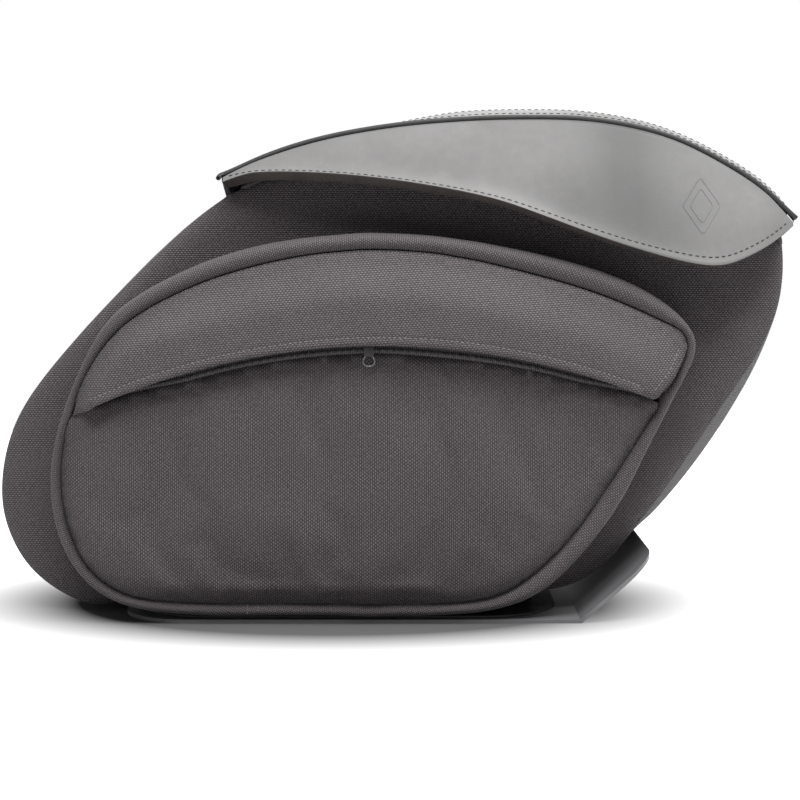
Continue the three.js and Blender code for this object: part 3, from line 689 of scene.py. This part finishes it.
def make_body():
    """The padded front and the band round the sides and the bottom; returns their outlines."""
    border = line_of(tree_of("body_front_panel"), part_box("body_front_panel")[0].y + 2 * MM, BODY_CENTRE, 200)
    front_panel = panel("body_front", border, body_depth, [NYLON, LINING], turn=math.pi / 2)
    cloth_piece(front_panel, WALL, ["body_front_panel", "front_stiffener"])

    front, rear = body_outlines()
    y0, y1 = BODY_FRONT_Y + EDGE_DEPTH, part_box("body_gusset")[1].y
    rows = []
    for k in range(17):
        t = k / 16
        line = front + (rear - front) * t
        sag = np.array([0.9 * MM * swell(x, y0 + (y1 - y0) * t, z, 0.07, 5.0) for x, z in line])
        bulge = 1.2 * MM * math.sin(math.pi * t)
        line = moved_in(line[::-1], -bulge + sag[::-1] * math.sin(math.pi * t), closed=False)[::-1]
        rows.append([(x, y0 + (y1 - y0) * t, z) for x, z in line])
    sides = surface("body_sides", rows, [SHADED_SIDE_NYLON, LINING])
    cloth_piece(outward_from(sides, BODY_CENTRE), WALL, ["body_gusset"])
    return border, front, rear


def outward_from(obj, centre):
    """Turns a band's faces away from the (x, z) centre."""
    middle = Vector((centre[0], 0, centre[1]))

    def turn(shape):
        total = sum(f.normal.dot((f.calc_center_median() - middle) * Vector((1, 0, 1))) for f in shape.faces)
        if total < 0:
            bmesh.ops.reverse_faces(shape, faces=shape.faces)
    return edited(obj, turn)


def make_body_trims(front, rear):
    """Piping round the rear edge and a welt along the front seam."""
    low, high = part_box("rear_piping")
    rear_line = moved_in(rear[::-1], 1.6 * MM, closed=False)[::-1]
    points = [(x, (low.y + high.y) / 2, z) for x, z in rear_line]
    dressed(rope("rear_piping_tape", points, 2.3 * MM, TAPE), "carcass", ["rear_piping"])
    seam = moved_in(front[::-1], 0.9 * MM, closed=False)[::-1]
    points = [(x, BODY_FRONT_Y + EDGE_DEPTH + 0.4 * MM, z) for x, z in seam]
    dressed(rope("front_seam_welt", points, 1.1 * MM, LIT_ROLL_NYLON, 8), "carcass")


# ---------------------------------------------------------------- the outer pocket
def pocket_outlines():
    """Matching outlines of the pocket's outer edge and its crease."""
    count = 190
    outer = line_of(tree_of("pocket_gusset"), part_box("pocket_gusset")[1].y - 8 * MM, POCKET_CENTRE, count)
    faces = tree_of("pocket_front_panel", "pocket_upper_panel")
    crease = line_of(faces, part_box("pocket_front_panel")[0].y + 1 * MM, POCKET_CENTRE, count)
    return outer, moved_in(crease, -1.2 * MM)


def roll_rows(outer, crease):
    """The pocket's wall, its roll and the tuck of the crease, row by row from the body outwards."""
    section = [(-0.25, -46.5), (0.0, -49), (0.35, -58), (0.5, -68), (0.3, -76), (-0.3, -81)]
    rows = []
    for bulge, y in section:
        line = moved_in(outer, -bulge * MM)
        rows.append([(x, y * MM, z) for x, z in line])
    for k in range(1, 12):
        t = k / 12
        across = 0.5 - 0.5 * math.cos(math.pi * t)
        rise = math.sin(math.pi * t) ** 0.75
        line = outer + (crease - outer) * (0.06 + 0.86 * across)
        y0 = -81 * MM + (-86 * MM + 81 * MM) * t
        rows.append([(x, y0 + (ROLL_TOP_Y - y0) * rise, z) for x, z in line])
    for share, y in ((1.0, -84.5), (1.12, -83.5)):
        line = outer + (crease - outer) * share
        rows.append([(x, y * MM, z) for x, z in line])
    return rows


def make_pocket_roll(outer, crease):
    """The pocket's wall and roll in one piece, with two short stitch rows at its lower seam."""
    roll = surface("pocket_roll", roll_rows(outer, crease), [LIT_ROLL_NYLON, LINING], loop=True)
    outward_from(roll, POCKET_CENTRE)
    cloth_piece(roll, 1.6 * MM, ["pocket_gusset"])
    for number, x in enumerate((-0.1013, -0.0941)):
        row = [(x, z) for z in np.linspace(0.0140, 0.0065, 6)]
        sew_on(roll, f"roll_stitches_{number + 1}", row, 2.3 * MM, 0.36 * MM, GREY_THREAD)


def arc_radius(x, z):
    """Distance from the zip arc's centre."""
    return math.hypot(x - ARC_CENTRE[0], z - ARC_CENTRE[1])


def radius_range(node):
    """Smallest and largest distance of a node's points from the zip arc's centre."""
    away = [arc_radius(v.co.x, v.co.z) for v in NODES[node].data.vertices]
    return min(away), max(away)


def arc_angle(point):
    """The angle of an (x, z) point about the zip arc's centre, from straight up."""
    return math.atan2(point[0] - ARC_CENTRE[0], point[1] - ARC_CENTRE[1])


def split_by_arc(border, radius, inside):
    """The part of a clockwise border on one side of a circle about the arc's centre, and the angles at which
    the circle joins its last point to its first."""
    ring = evenly(border, 1200, closed=True)
    away = np.hypot(ring[:, 0] - ARC_CENTRE[0], ring[:, 1] - ARC_CENTRE[1])
    keep = away < radius if inside else away > radius
    start = next(i for i in range(len(ring)) if keep[i] and not keep[i - 1])
    ring, keep = np.roll(ring, -start, axis=0), np.roll(keep, -start)
    part = ring[: int(np.argmin(keep))] if not keep.all() else ring
    return part, (arc_angle(part[-1]), arc_angle(part[0]))


def on_arc(angle, radius):
    """The (x, z) point at an angle from straight up about the zip arc's centre."""
    return (ARC_CENTRE[0] + radius * math.sin(angle), ARC_CENTRE[1] + radius * math.cos(angle))


def pocket_gap(angle):
    """How far below the zip the pocket's upper edge lies: least at the ends, and a little more where the zip
    is open, to the right of the slider."""
    zip_end = 0.40
    opened = 0.8 * MM * ease((angle - SLIDER_ANGLE) / 0.10) * ease((0.30 - angle) / 0.2)
    middle = 5.6 * MM * ease((zip_end - abs(angle)) / 0.12)
    beyond = 3.0 * MM * ease((abs(angle) - zip_end) / 0.04)
    return middle - beyond + opened


def pocket_depth(x, z, edge, zip_radius):
    """The pocket front's y: tucked in at the crease, fuller towards the bottom, with soft dents."""
    below_zip = zip_radius - arc_radius(x, z)
    tuck = 3.6 * MM * (1 - ease(edge / (4 * MM))) * ease((below_zip - 4 * MM) / (8 * MM))
    crown = (1.2 + 3.2 * ease((0.185 - z) / 0.13)) * MM * ease(edge / 0.014)
    dents = 2.0 * MM * swell(x, 0, z, 0.075, 1.7) + 0.9 * MM * swell(x, 0, z, 0.035, 4.4)
    return POCKET_FACE_Y - crown + tuck + dents * ease(edge / 0.03)


def make_pocket_front(crease):
    """The pocket's front below its zip: a slack sheet, filled out by a short cloth simulation."""
    radius = radius_range("pocket_front_panel")[1]
    side, (a0, a1) = split_by_arc(crease, radius, inside=True)
    side = evenly(side, 150)
    top = [on_arc(a, radius - pocket_gap(a)) for a in np.linspace(a0, a1, 62)[1:-1]]
    border = np.vstack([side, top])
    front = panel("pocket_front", border, lambda x, z, edge: pocket_depth(x, z, edge, radius),
                  [NYLON, LINING], spacing=5 * MM)
    inflate(front, border)
    cloth_piece(front, 1.4 * MM, ["pocket_front_panel"])


def inflate(obj, border):
    """Lets the sheet settle under a light push from behind, held along its border, then bakes the result."""
    held = obj.vertex_groups.new(name="held")
    rim = dense_tree(border)
    still = [v.co.copy() for v in obj.data.vertices]
    for v in obj.data.vertices:
        edge = rim.find((v.co.x, 0, v.co.z))[2]
        held.add([v.index], 1.0 - ease((edge - 1 * MM) / (4 * MM)), "REPLACE")
    cloth = obj.modifiers.new("cloth", "CLOTH")
    settings = cloth.settings
    settings.quality = 6
    settings.mass = 0.25
    settings.tension_stiffness = settings.compression_stiffness = 12
    settings.bending_stiffness = 0.72
    settings.shrink_min = -0.012  # below 0 the sheet grows, which gives it slack
    settings.vertex_group_mass = "held"
    settings.use_pressure = True
    settings.uniform_pressure_force = 0.6
    settings.effector_weights.gravity = 0
    cloth.point_cache.frame_end = CLOTH_FRAMES
    for step in range(1, CLOTH_FRAMES + 1):
        bpy.context.scene.frame_set(step)
    apply_modifiers(obj)
    bpy.context.scene.frame_set(1)
    for v, rest in zip(obj.data.vertices, still):
        move = v.co - rest
        if move.length > CLOTH_CAP:
            v.co = rest + move * (CLOTH_CAP / move.length)


def make_pocket_upper(crease):
    """The part of the pocket's front above the zip, behind the storm flap."""
    radius = radius_range("pocket_upper_panel")[0]
    side, (a0, a1) = split_by_arc(crease, radius, inside=False)
    border = np.vstack([evenly(side, 110), [on_arc(a, radius) for a in np.linspace(a0, a1, 62)[1:-1]]])
    upper = panel("pocket_upper", border, lambda x, z, edge: POCKET_FACE_Y, [NYLON, LINING])
    cloth_piece(upper, 1.2 * MM, ["pocket_upper_panel"])


def make_storm_flap(crease):
    """The flap over the zip: sewn along the crease, standing off towards its hemmed lower edge."""
    radius = radius_range("storm_flap")[0]
    side, (_, a1) = split_by_arc(moved_in(crease, 0.9 * MM), radius, inside=False)
    sewn = np.array([p for p in side if p[0] < 0 or p[1] > FLAP_END[0][1] + 2 * MM])
    side = evenly(np.vstack([sewn, FLAP_END]), 120)
    angles = np.linspace(arc_angle(side[-1]), a1, 130)[1:-1]
    lower = [on_arc(a, radius) for a in angles]
    border = rounded_at(np.vstack([side, lower]), side[-1], 0.006)
    rows = [[on_arc(a, radius + HEM * k) for a in angles[3:-5]] for k in (0.45, 0.85, 1.0, 1.15, 1.6)]
    sewn = sewn[3:]
    rim = dense_tree(np.vstack([sewn, sewn[::-1]]))

    def depth(x, z, edge):
        from_crease = rim.find((x, 0, z))[2]
        above = arc_radius(x, z) - radius
        from_left, from_right = x - side[0][0], side[-1][0] - x
        ends = ease(from_left / 0.014) * (0.55 + 0.45 * ease(from_right / 0.09))
        rise = 0.012 + 0.022 * ease(from_left / 0.12)
        stand = FLAP_STAND * ease(from_crease / rise) ** 0.8 * (0.35 + 0.65 * ends)
        hem = 0.45 * MM * (1 - ease((above - 0.5 * HEM) / (0.5 * HEM)))
        groove = 0.35 * MM * math.exp(-((above - HEM) / (0.7 * MM)) ** 2)
        lip = 1.0 * MM * math.exp(-above / (2 * MM))
        ripple = 0.8 * MM * swell(x + 0.6 * z, 0, z * 0.3, 0.03, 2.0) * ease(from_crease / 0.02)
        wide = 1.0 * MM * swell(x, 0, z, 0.08, 6.0) * ease(from_crease / 0.02)
        return FLAP_FACE_Y - stand - hem + groove + lip - ripple + wide

    flap = panel("storm_flap_cloth", border, depth, [LIT_FLAP_NYLON, LINING], spacing=4.2 * MM, lines=rows,
                 turn=math.pi / 2 + 0.07)
    cloth_piece(flap, 1.5 * MM, ["storm_flap"])
    sheet_area(border)
    row = [on_arc(a, radius + HEM) for a in angles[3:-4]]
    sew_on(flap, "storm_flap_stitches", row, FABRIC_STITCH, 0.4 * MM, GREY_THREAD)
    end_row = moved_in(side, HEM * 0.9, closed=False)[-12:-1]
    sew_on(flap, "storm_flap_end_stitches", end_row, FABRIC_STITCH, 0.4 * MM, GREY_THREAD)


def rounded_at(border, corner, reach):
    """A closed border with one corner rounded over reach."""
    line = evenly(border, 300, closed=True)
    soft = smoothed(line, closed=True, reach=reach * 0.45)
    away = np.linalg.norm(line - corner, axis=1)
    share = np.exp(-(away / reach) ** 2)[:, None]
    return line * (1 - share) + soft * share


def sheet_area(border):
    """Area inside a closed (x, z) border."""
    x, z = border[:, 0], border[:, 1]
    return abs(np.dot(x, np.roll(z, 1)) - np.dot(z, np.roll(x, 1))) / 2


def sew_on(obj, name, row, pitch, radius, material):
    """Stitches along an (x, z) row, dropped from the front onto a piece of the bag's body."""
    tree = tree_over(obj)
    points, normals = [], []
    for x, z in row:
        hit, normal, _, _ = tree.ray_cast(Vector((x, RAY_START_Y, z)), Vector((0, 1, 0)))
        if hit is not None:
            points.append(hit)
            normals.append(normal if normal.y < 0 else -normal)
    dressed(stitches(name, points, normals, pitch, radius, material), "carcass")


def make_zip_teeth():
    """Single teeth along both edges of the zip; past the slider the lower ones follow the open edge."""
    rows = (("zip_teeth_top", "zip_teeth_upper", 0), ("zip_teeth_bottom", "zip_teeth_lower", 1))
    for name, node, open_edge in rows:
        low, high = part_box(node)
        inner, outer = radius_range(node)
        ends = [arc_angle((x, 0.19)) for x in (low.x, high.x)]
        vertices, faces = [], []
        for angle in np.arange(ends[0], ends[1], TOOTH_PITCH / outer):
            sag = open_edge * pocket_gap(angle)
            base = len(vertices)
            for radius in (inner - sag, outer - sag):
                for turn in (-0.55, 0.55):
                    for y in (low.y, high.y - 0.4 * MM):
                        x, z = on_arc(angle + turn * MM / outer, radius)
                        vertices.append((x, y, z))
            faces += [tuple(base + k for k in quad) for quad in (
                (0, 1, 3, 2), (4, 6, 7, 5), (0, 4, 5, 1), (2, 3, 7, 6), (0, 2, 6, 4), (1, 5, 7, 3))]
        teeth = new_object(name, vertices, faces, [DARK_METAL])
        dressed(bevel(face_out(teeth), 0.18 * MM), "carcass", [node])


def make_zip_puller():
    """A wire ring that hangs by a flat tab from the slider's pin."""
    low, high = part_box("zip_puller")
    wire, drop = 0.75 * MM, 2.0 * MM
    x, y = (low.x + high.x) / 2, (low.y + high.y) / 2
    radius = 4.5 * MM - wire
    ring_z = low.z + 4.4 * MM - drop
    ring = [(x + radius * math.sin(t), y, ring_z + radius * math.cos(t))
            for t in np.linspace(0, 2 * math.pi, 40, endpoint=False)]
    made = rope("zip_puller_ring", ring, wire, RING_METAL, 12, closed=True)
    dressed(made, "zip_puller", ["zip_puller"])
    pin_z = high.z - 1.4 * MM
    half = 3.4 * MM
    foot = ring_z + radius - 1.2 * MM
    shape_of_tab = [(-half * 0.7, pin_z), (half * 0.7, pin_z), (half, pin_z - 2 * MM), (half, foot + 1 * MM),
                    (half * 0.6, foot), (-half * 0.6, foot), (-half, foot + 1 * MM), (-half, pin_z - 2 * MM)]
    rows = [[(x + u, y + v * MM, z) for v in (-1.15, 0.35)] for u, z in shape_of_tab]
    tab = surface("zip_puller_tab", rows, [BOARD], tube=True)
    edited(tab, lambda shape: bmesh.ops.holes_fill(shape, edges=shape.edges, sides=len(shape_of_tab)))
    dressed(bevel(face_out(tab), 0.3 * MM), "zip_puller")


def between(first, last, count=12):
    """Evenly spaced points on the straight line from first to last, without its ends."""
    first, last = np.array(first), np.array(last)
    return [tuple(first + (last - first) * t) for t in np.linspace(0, 1, count + 2)[1:-1]]


def make_rim_binding(border):
    """Tape bound round the body's mouth: along the front's top edge, over the sides and along the board."""
    low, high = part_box("rim_binding")
    tree = tree_of("back_panel")
    mouth = sorted((tuple(p) for p in border if p[1] > 0.25), key=lambda p: p[0])
    front = [(x, -46.4 * MM, z) for x, z in mouth if low.x - 2 * MM < x < high.x - 2 * MM]
    rear = []
    for x in np.linspace(high.x - 2 * MM, low.x + 2 * MM, 40):
        hit = tree.ray_cast(Vector((x, 82 * MM, 1)), Vector((0, 0, -1)))[0]
        rear.append((x, 79 * MM, hit.z - 3 * MM))
    line = front + between(front[-1], rear[0]) + rear + between(rear[-1], front[0])
    points = smoothed(evenly(line, 260, closed=True), closed=True, reach=7 * MM)
    tape_round = rope("rim_binding_tape", points, 2.0 * MM, TAPE, 10, closed=True)
    dressed(tape_round, "carcass", ["rim_binding"])


# ---------------------------------------------------------------- the lid
def slice_at(node, axis, value):
    """The points where a node's edges cross a plane square to an axis (0 x, 1 y, 2 z)."""
    mesh = NODES[node].data
    co = np.array([v.co for v in mesh.vertices])
    ends = np.array([e.vertices[:] for e in mesh.edges])
    a, b = co[ends[:, 0]], co[ends[:, 1]]
    crossing = (a[:, axis] - value) * (b[:, axis] - value) <= 0
    a, b = a[crossing], b[crossing]
    span = b[:, axis] - a[:, axis]
    t = np.where(np.abs(span) < 1e-9, 0, (value - a[:, axis]) / np.where(span == 0, 1, span))
    return a + (b - a) * t[:, None]


def flap_edges():
    """For places along the lid's front flap: its top edge and its lower edge, both on the outer face."""
    low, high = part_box("lid_flap")
    margin = 0.6 * MM
    xs = low.x + margin + (high.x - low.x - 2 * margin) * (0.5 - 0.5 * np.cos(np.linspace(0, math.pi, 121)))
    top, bottom = [], []
    for x in xs:
        cut = slice_at("lid_flap", 0, x)
        top.append(cut[cut[:, 2].argmax()] + (0, 0, 1.6 * MM))
        bottom.append(cut[cut[:, 2].argmin()] - FLAP_INWARD)
    return smoothed(np.array(top)), smoothed(np.array(bottom))


def flap_curl(x):
    """The angle in radians by which the flap's lower edge turns outwards: most at the left."""
    return 1.2 * (1 - ease((x - 0.02) / 0.26))


def flap_thickness(x):
    """The flap's leather is thickest at the left, where its cut edge shows."""
    return LEATHER * (1 + 0.95 * (1 - ease((x + 0.08) / 0.26)))


def make_lid_flap():
    """The lid's front flap: a full face, a lower edge that curls outwards, and a dent where it bends over the
    lid's end. Returns its outer face as a grid."""
    top, bottom = flap_edges()
    rows_outer = []
    for v in np.linspace(0, 1, 31):
        row = []
        for a, b in zip(top, bottom):
            p = a + (b - a) * v
            drop = np.linalg.norm(b - a)
            belly = 0.05 * drop * math.sin(math.pi * v)
            fade = math.exp(-drop * (1 - v) / CURL_REACH)
            full = flap_curl(a[0]) * min(1.0, drop / 0.012)
            angle = full * fade
            forward = CURL_REACH * (angle - angle ** 3 / 18)
            lift = 0.9 * flap_thickness(a[0]) * math.sin(full) * fade
            wave = 0.9 * MM * swell(p[0], 0, p[2], 0.11, 9.0) * math.sin(math.pi * v)
            hollow = 2.6 * MM * math.exp(-(((p[0] - 0.147) / 0.035) ** 2)) * math.sin(math.pi * v)
            row.append(p + np.array([0, -belly - forward + wave + hollow, lift]))
        rows_outer.append(row)
    outer = np.array(rows_outer)
    thickness = np.array([flap_thickness(p[0]) for p in top])[None, :, None]
    behind = outer - grid_normals(outer) * thickness
    section = [outer, rounded_edge(outer[-1], behind[-1]), behind[::-1]]
    rows = np.concatenate(section)
    cut_from, cut_to = len(outer) - 1, len(outer) - 1 + len(section[1]) + 1

    def slot_of(i):
        if cut_from <= i < cut_to:
            return 1
        return 0 if i < cut_from else 2

    flap = surface("lid_flap_leather", rows, [LEATHER_FACE, RAW, SUEDE], tube=True, caps=True,
                   material_of=slot_of)
    dressed(flap, "lid", ["lid_flap"])
    make_mark(flap)
    return outer


def rounded_edge(first, last):
    """Rows that carry a sheet's outer edge round to its inner edge, with slightly broken corners."""
    away = np.array([0, -0.35, -0.9]) * 0.35 * MM
    return np.array([first + (last - first) * t + away for t in (0.12, 0.5, 0.88)])


def grid_normals(grid):
    """A grid's normals, towards the front."""
    normal = np.cross(np.gradient(grid, axis=1), np.gradient(grid, axis=0))
    normal /= np.maximum(np.linalg.norm(normal, axis=2), 1e-9)[:, :, None]
    return normal * np.where(normal[:, :, 1:2] > 0, -1, 1)


def leather_stitches(name, points, normals, radius):
    """A row of the lid's long, tight stitches."""
    made = stitches(name, points, normals, LEATHER_STITCH, radius, BLACK_THREAD, 0.72, 0.5)
    dressed(made, "lid")


def make_flap_stitches(outer):
    """The stitch row that follows the flap's lower edge."""
    normals = grid_normals(outer)
    points, ways = [], []
    for j in range(2, outer.shape[1] - 1):
        column = outer[:, j]
        run = lengths(column, False)
        inset = LEATHER_ROW * (1.0 + 0.7 * ease((column[0][0] + 0.02) / 0.22))
        at = run[-1] - inset
        if at < 1.5 * MM:
            continue
        points.append([np.interp(at, run, column[:, a]) for a in range(3)])
        ways.append([np.interp(at, run, normals[:, j, a]) for a in range(3)])
    leather_stitches("lid_flap_stitches", points, ways, 0.34 * MM)


def top_grid():
    """The lid's top panel as a grid of points over its outer face, from the piping to the rear."""
    low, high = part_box("lid_top")
    tree = tree_of("lid_top")
    rows = []
    for y in np.linspace(low.y + 0.3 * MM, high.y - 0.3 * MM, 25):
        cut = slice_at("lid_top", 1, y)
        x0, x1 = cut[:, 0].min() + 0.5 * MM, cut[:, 0].max() - 0.5 * MM
        row = []
        for u in 0.5 - 0.5 * np.cos(np.linspace(0, math.pi, 91)):
            x = x0 + (x1 - x0) * u
            hit = tree.ray_cast(Vector((x, y, 1)), Vector((0, 0, -1)))[0]
            row.append(tuple(hit) if hit is not None else (x, y, row[-1][2]))
        rows.append(row)
    grid = np.array(rows)
    for _ in range(3):
        grid[1:-1] = (grid[:-2] + 2 * grid[1:-1] + grid[2:]) / 4
        grid[:, 1:-1] = (grid[:, :-2] + 2 * grid[:, 1:-1] + grid[:, 2:]) / 4
    grid[0, :, 1] -= 1.5 * MM  # the front edge runs into the flap's leather
    return grid


def leather_sheet(name, outer, inner):
    """Leather between two grids, with a finished face, a suede back and raw cut edges."""
    count = len(outer)
    cuts = (count - 1, 2 * count - 1)
    return surface(name, np.concatenate([outer, inner[::-1]]), [LEATHER_FACE, RAW, SUEDE], tube=True, caps=True,
                   material_of=lambda i: 1 if i in cuts else (0 if i < count else 2))


def make_lid_top():
    """The lid's top panel and its lined stiffener; returns the panel's outer face as a grid."""
    grid = top_grid()
    under = grid - np.array([0, 0, LEATHER * 0.9])
    top = bevel(leather_sheet("lid_top_leather", grid, under), 0.5 * MM)
    dressed(top, "lid", ["lid_top"])
    board = under[3:-2, 5:-5] - np.array([0, 0, 0.4 * MM])
    rows = np.concatenate([board, (board - np.array([0, 0, 3.2 * MM]))[::-1]])
    lined = surface("lid_lining", rows, [LINING], tube=True, caps=True)
    bevel(lined, 0.9 * MM)
    dressed(lined, "lid", ["lid_stiffener"])
    return grid


def bevel(obj, width, segments=2, angle=35):
    """Rounds an object's sharp edges."""
    made = obj.modifiers.new("bevel", "BEVEL")
    made.width = width
    made.segments = segments
    made.limit_method = "ANGLE"
    made.angle_limit = math.radians(angle)
    made.harden_normals = False
    return obj


def make_top_stitches(grid):
    """Two rows along the top panel: one beside the piping, one near the crown."""
    up = np.array([0, 0, 1.0])
    for number, row in enumerate((2, 8)):
        points = grid[row, 3:-3]
        leather_stitches(f"lid_top_stitches_{number + 1}", points, [up] * len(points), 0.36 * MM)


def make_lid_seam_tape(outer):
    """Tape sewn inside the lid, over the seam of its top and its front flap."""
    seam = outer[0][3:-3]
    along = np.gradient(seam, axis=0)
    inward = np.stack([along[:, 2], np.zeros(len(along)), -along[:, 0]], axis=1)
    inward /= np.linalg.norm(inward, axis=1)[:, None]
    points = seam + inward * (LEATHER + 0.8 * MM) + np.array([0, LEATHER + 1.6 * MM, 0])
    dressed(rope("lid_seam_tape", points, 1.9 * MM, TAPE, 8), "lid")


def make_lid_piping():
    """The piping that edges the ridge: a hollow cord whose cut ends show."""
    low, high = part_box("lid_piping")
    centre_y = (low.y + high.y) / 2
    radius = (high.y - low.y) / 2 * 0.74
    points = []
    for x in np.linspace(low.x + 1 * MM, high.x - 1 * MM, 140):
        cut = slice_at("lid_piping", 0, x)
        points.append((x, centre_y, (cut[:, 2].max() + cut[:, 2].min()) / 2))
    points = smoothed(np.array(points), reach=8 * MM)
    steps = np.array([(-1.2, -4.2, -1.8), (-0.9, -2.2, -1.2), (-0.5, -0.8, -0.4)]) * MM
    points = np.vstack([points[0] + steps, points])  # the left end turns out towards the front
    cord = rope("lid_piping_cord", points, radius, TAPE, 12, hollow=radius * 0.5)
    dressed(cord, "lid", ["lid_piping"])


def make_mark(flap):
    """A plain raised lozenge on the flap's right part, one outline inside another."""
    tree = tree_over(flap)
    corners = np.array([(0, 1), (1, 0), (0, -1), (-1, 0)])
    for number, scale in enumerate((1.0, 0.62)):
        line = MARK_CENTRE + corners * MARK_HALF * scale
        points = []
        for x, z in smoothed(evenly(line, 96, closed=True), closed=True, reach=1.6 * MM):
            hit = tree.ray_cast(Vector((x, RAY_START_Y, z)), Vector((0, 1, 0)))[0]
            points.append(hit + Vector((0, 0.25 * MM, 0)))
        made = rope(f"lid_mark_{number + 1}", points, 0.55 * MM, LEATHER_FACE, 8, closed=True)
        dressed(made, "lid")


def make_hinge_leather():
    """One leather sheet from the lid's rear edge over the hinge line to the rivets on the body's back."""
    skirt_low, skirt_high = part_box("lid_skirt")
    strap_low, strap_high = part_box("hinge_strap")
    y = (skirt_low.y + skirt_high.y) / 2
    half = (skirt_high.y - skirt_low.y) / 2
    columns = np.linspace(skirt_low.x + 1.5 * MM, skirt_high.x - 1.5 * MM, 60)
    tree = tree_of("lid_skirt")
    tops = []
    for x in columns:
        hit = tree.ray_cast(Vector((x, y, 1)), Vector((0, 0, -1)))[0]
        tops.append(hit.z if hit is not None else skirt_low.z)
    line = skirt_low.z - (skirt_low.z - strap_high.z) / 2
    rows = []
    for t in np.linspace(0, 1, 15):
        rows.append([(x, y, line + (top - line) * t) for x, top in zip(columns, tops)])
    lower = []
    for t in np.linspace(1, 0, 9)[:-1]:
        z = strap_low.z + (line - strap_low.z) * (1 - t)
        narrow = 8 * MM * t
        share = (columns - columns[0]) / (columns[-1] - columns[0])
        x0, x1 = strap_low.x + narrow, strap_high.x - narrow
        lower.append([(x0 + (x1 - x0) * s, y, z) for s in share])
    outer = np.array(lower + rows) + np.array([0, half, 0])
    sheet = leather_sheet("hinge_leather", outer, outer - np.array([0, 2 * half, 0]))
    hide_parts("lid_skirt", "hinge_strap")
    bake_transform(sheet)


# ---------------------------------------------------------------- parts kept from the frame
def dress_nodes():
    """Gives the CAD nodes that stay in view their materials and softened edges."""
    looks = (
        (("support_bracket",), PAINT, "bracket_paint", 0.7 * MM),
        (("bottom_tray", "bottom_board"), PLASTIC, "black_plastic", 0.35 * MM),
        (("back_panel",), BOARD, "black_plastic", 0.9 * MM),
        (("bottom_pad",), RUBBER, "rubber", 1.5 * MM),
        (("zip_tape_upper", "zip_tape_lower"), ZIP_TAPE, "webbing", 0.2 * MM),
        (("zip_slider",), DARK_METAL, "black_metal", 0.4 * MM),
        (("catch_keeper_", "catch_magnet_"), PLASTIC, "black_plastic", 0.9 * MM),
        (("catch_tab_",), RAW, "raw_leather", 0.4 * MM),
        (("hinge_rivet_", "washer_", "lock_nut_"), ZINC, "zinc_steel", 0.3 * MM),
        (("bag_bolt_",), DARK_METAL, "black_metal", 0.3 * MM),
        (("rubber_spacer_",), RUBBER, "rubber", 0.6 * MM),
    )
    for names, material, slot, width in looks:
        for name, obj in NODES.items():
            if not name.startswith(names):
                continue
            obj.data.materials.clear()
            obj.data.materials.append(material)
            bevel(obj, width)


# ---------------------------------------------------------------- the studio
def make_floor():
    """A plain round sweep, dark grey itself, that glows white away from the object as painted light, with a
    painted shadow where it stands.
    """
    sides = 96
    turns = [2 * math.pi * k / sides for k in range(sides)]
    rim = [(FLOOR_RADIUS * math.cos(t), FLOOR_RADIUS * math.sin(t), 0) for t in turns]
    s = Surface("floor")
    # painted light and painted shadow: the floor glows more with distance from an ellipse round the object, and
    # not at all inside it
    from_middle = s.add("VectorMath", s.position(), (*PAINTED_SHADOW_CENTRE, 0), operation="SUBTRACT")
    away = s.add("VectorMath", from_middle, (1 / PAINTED_SHADOW_HALF[0], 1 / PAINTED_SHADOW_HALF[1], 0), operation="MULTIPLY")
    painted_glow = s.range(s.add("VectorMath", away, operation="LENGTH", output=1), 0.95, 1.55, 0.0, 1.35)
    s.set(Base_Color=grey(0.10), Roughness=0.8, Specular_IOR_Level=0.1, Emission_Color=grey(1.0),
          Emission_Strength=painted_glow)
    floor = new_object("floor", rim, [tuple(range(sides))], [s.material])


def make_lights():
    """A softbox overhead, a key light above the camera, a fill from behind and a pale surround."""
    world = bpy.data.worlds.new("studio")
    world.use_nodes = True
    tree = world.node_tree
    backdrop = tree.nodes["Background"]
    backdrop.inputs[0].default_value = (1, 1, 1, 1)
    backdrop.inputs[1].default_value = 1.0
    surround = tree.nodes.new("ShaderNodeBackground")
    surround.inputs[1].default_value = 0.45
    seen = tree.nodes.new("ShaderNodeLightPath")
    mix = tree.nodes.new("ShaderNodeMixShader")
    tree.links.new(seen.outputs["Is Camera Ray"], mix.inputs[0])
    tree.links.new(surround.outputs[0], mix.inputs[1])
    tree.links.new(backdrop.outputs[0], mix.inputs[2])
    tree.links.new(mix.outputs[0], tree.nodes["World Output"].inputs[0])
    bpy.context.scene.world = world
    softboxes = (
        ("overhead", (0.0, 0.35, 1.6), (0.0, 0.05, 0.0), (2.4, 1.0), 14),
        ("key", (0.40, -0.72, 1.75), (0.0, -0.1, 0.15), (2.5, 0.6), 68),
        ("rear_fill", (0.5, 1.5, 1.0), (0.0, 0.0, 0.2), (1.8, 0.8), 14),
    )
    for name, place, target, size, power in softboxes:
        data = bpy.data.lights.new(name, "AREA")
        data.shape = "RECTANGLE"
        data.size, data.size_y = size
        data.energy = power
        light = bpy.data.objects.new(name, data)
        light.location = place
        light.rotation_euler = (Vector(target) - Vector(place)).to_track_quat("-Z", "Y").to_euler()
        bpy.context.scene.collection.objects.link(light)


# ---------------------------------------------------------------- the whole
make_floor()
make_lights()
bpy.context.scene.view_settings.view_transform = "Standard"
body_border, body_front_line, body_rear_line = make_body()
make_body_trims(body_front_line, body_rear_line)
make_rim_binding(body_border)
pocket_outer, pocket_crease = pocket_outlines()
make_pocket_roll(pocket_outer, pocket_crease)
make_pocket_front(pocket_crease)
make_pocket_upper(pocket_crease)
make_storm_flap(pocket_crease)
make_zip_teeth()
make_zip_puller()
lid_flap_grid = make_lid_flap()
make_flap_stitches(lid_flap_grid)
lid_top_grid = make_lid_top()
make_top_stitches(lid_top_grid)
make_lid_seam_tape(lid_flap_grid)
make_lid_piping()
make_hinge_leather()
dress_nodes()
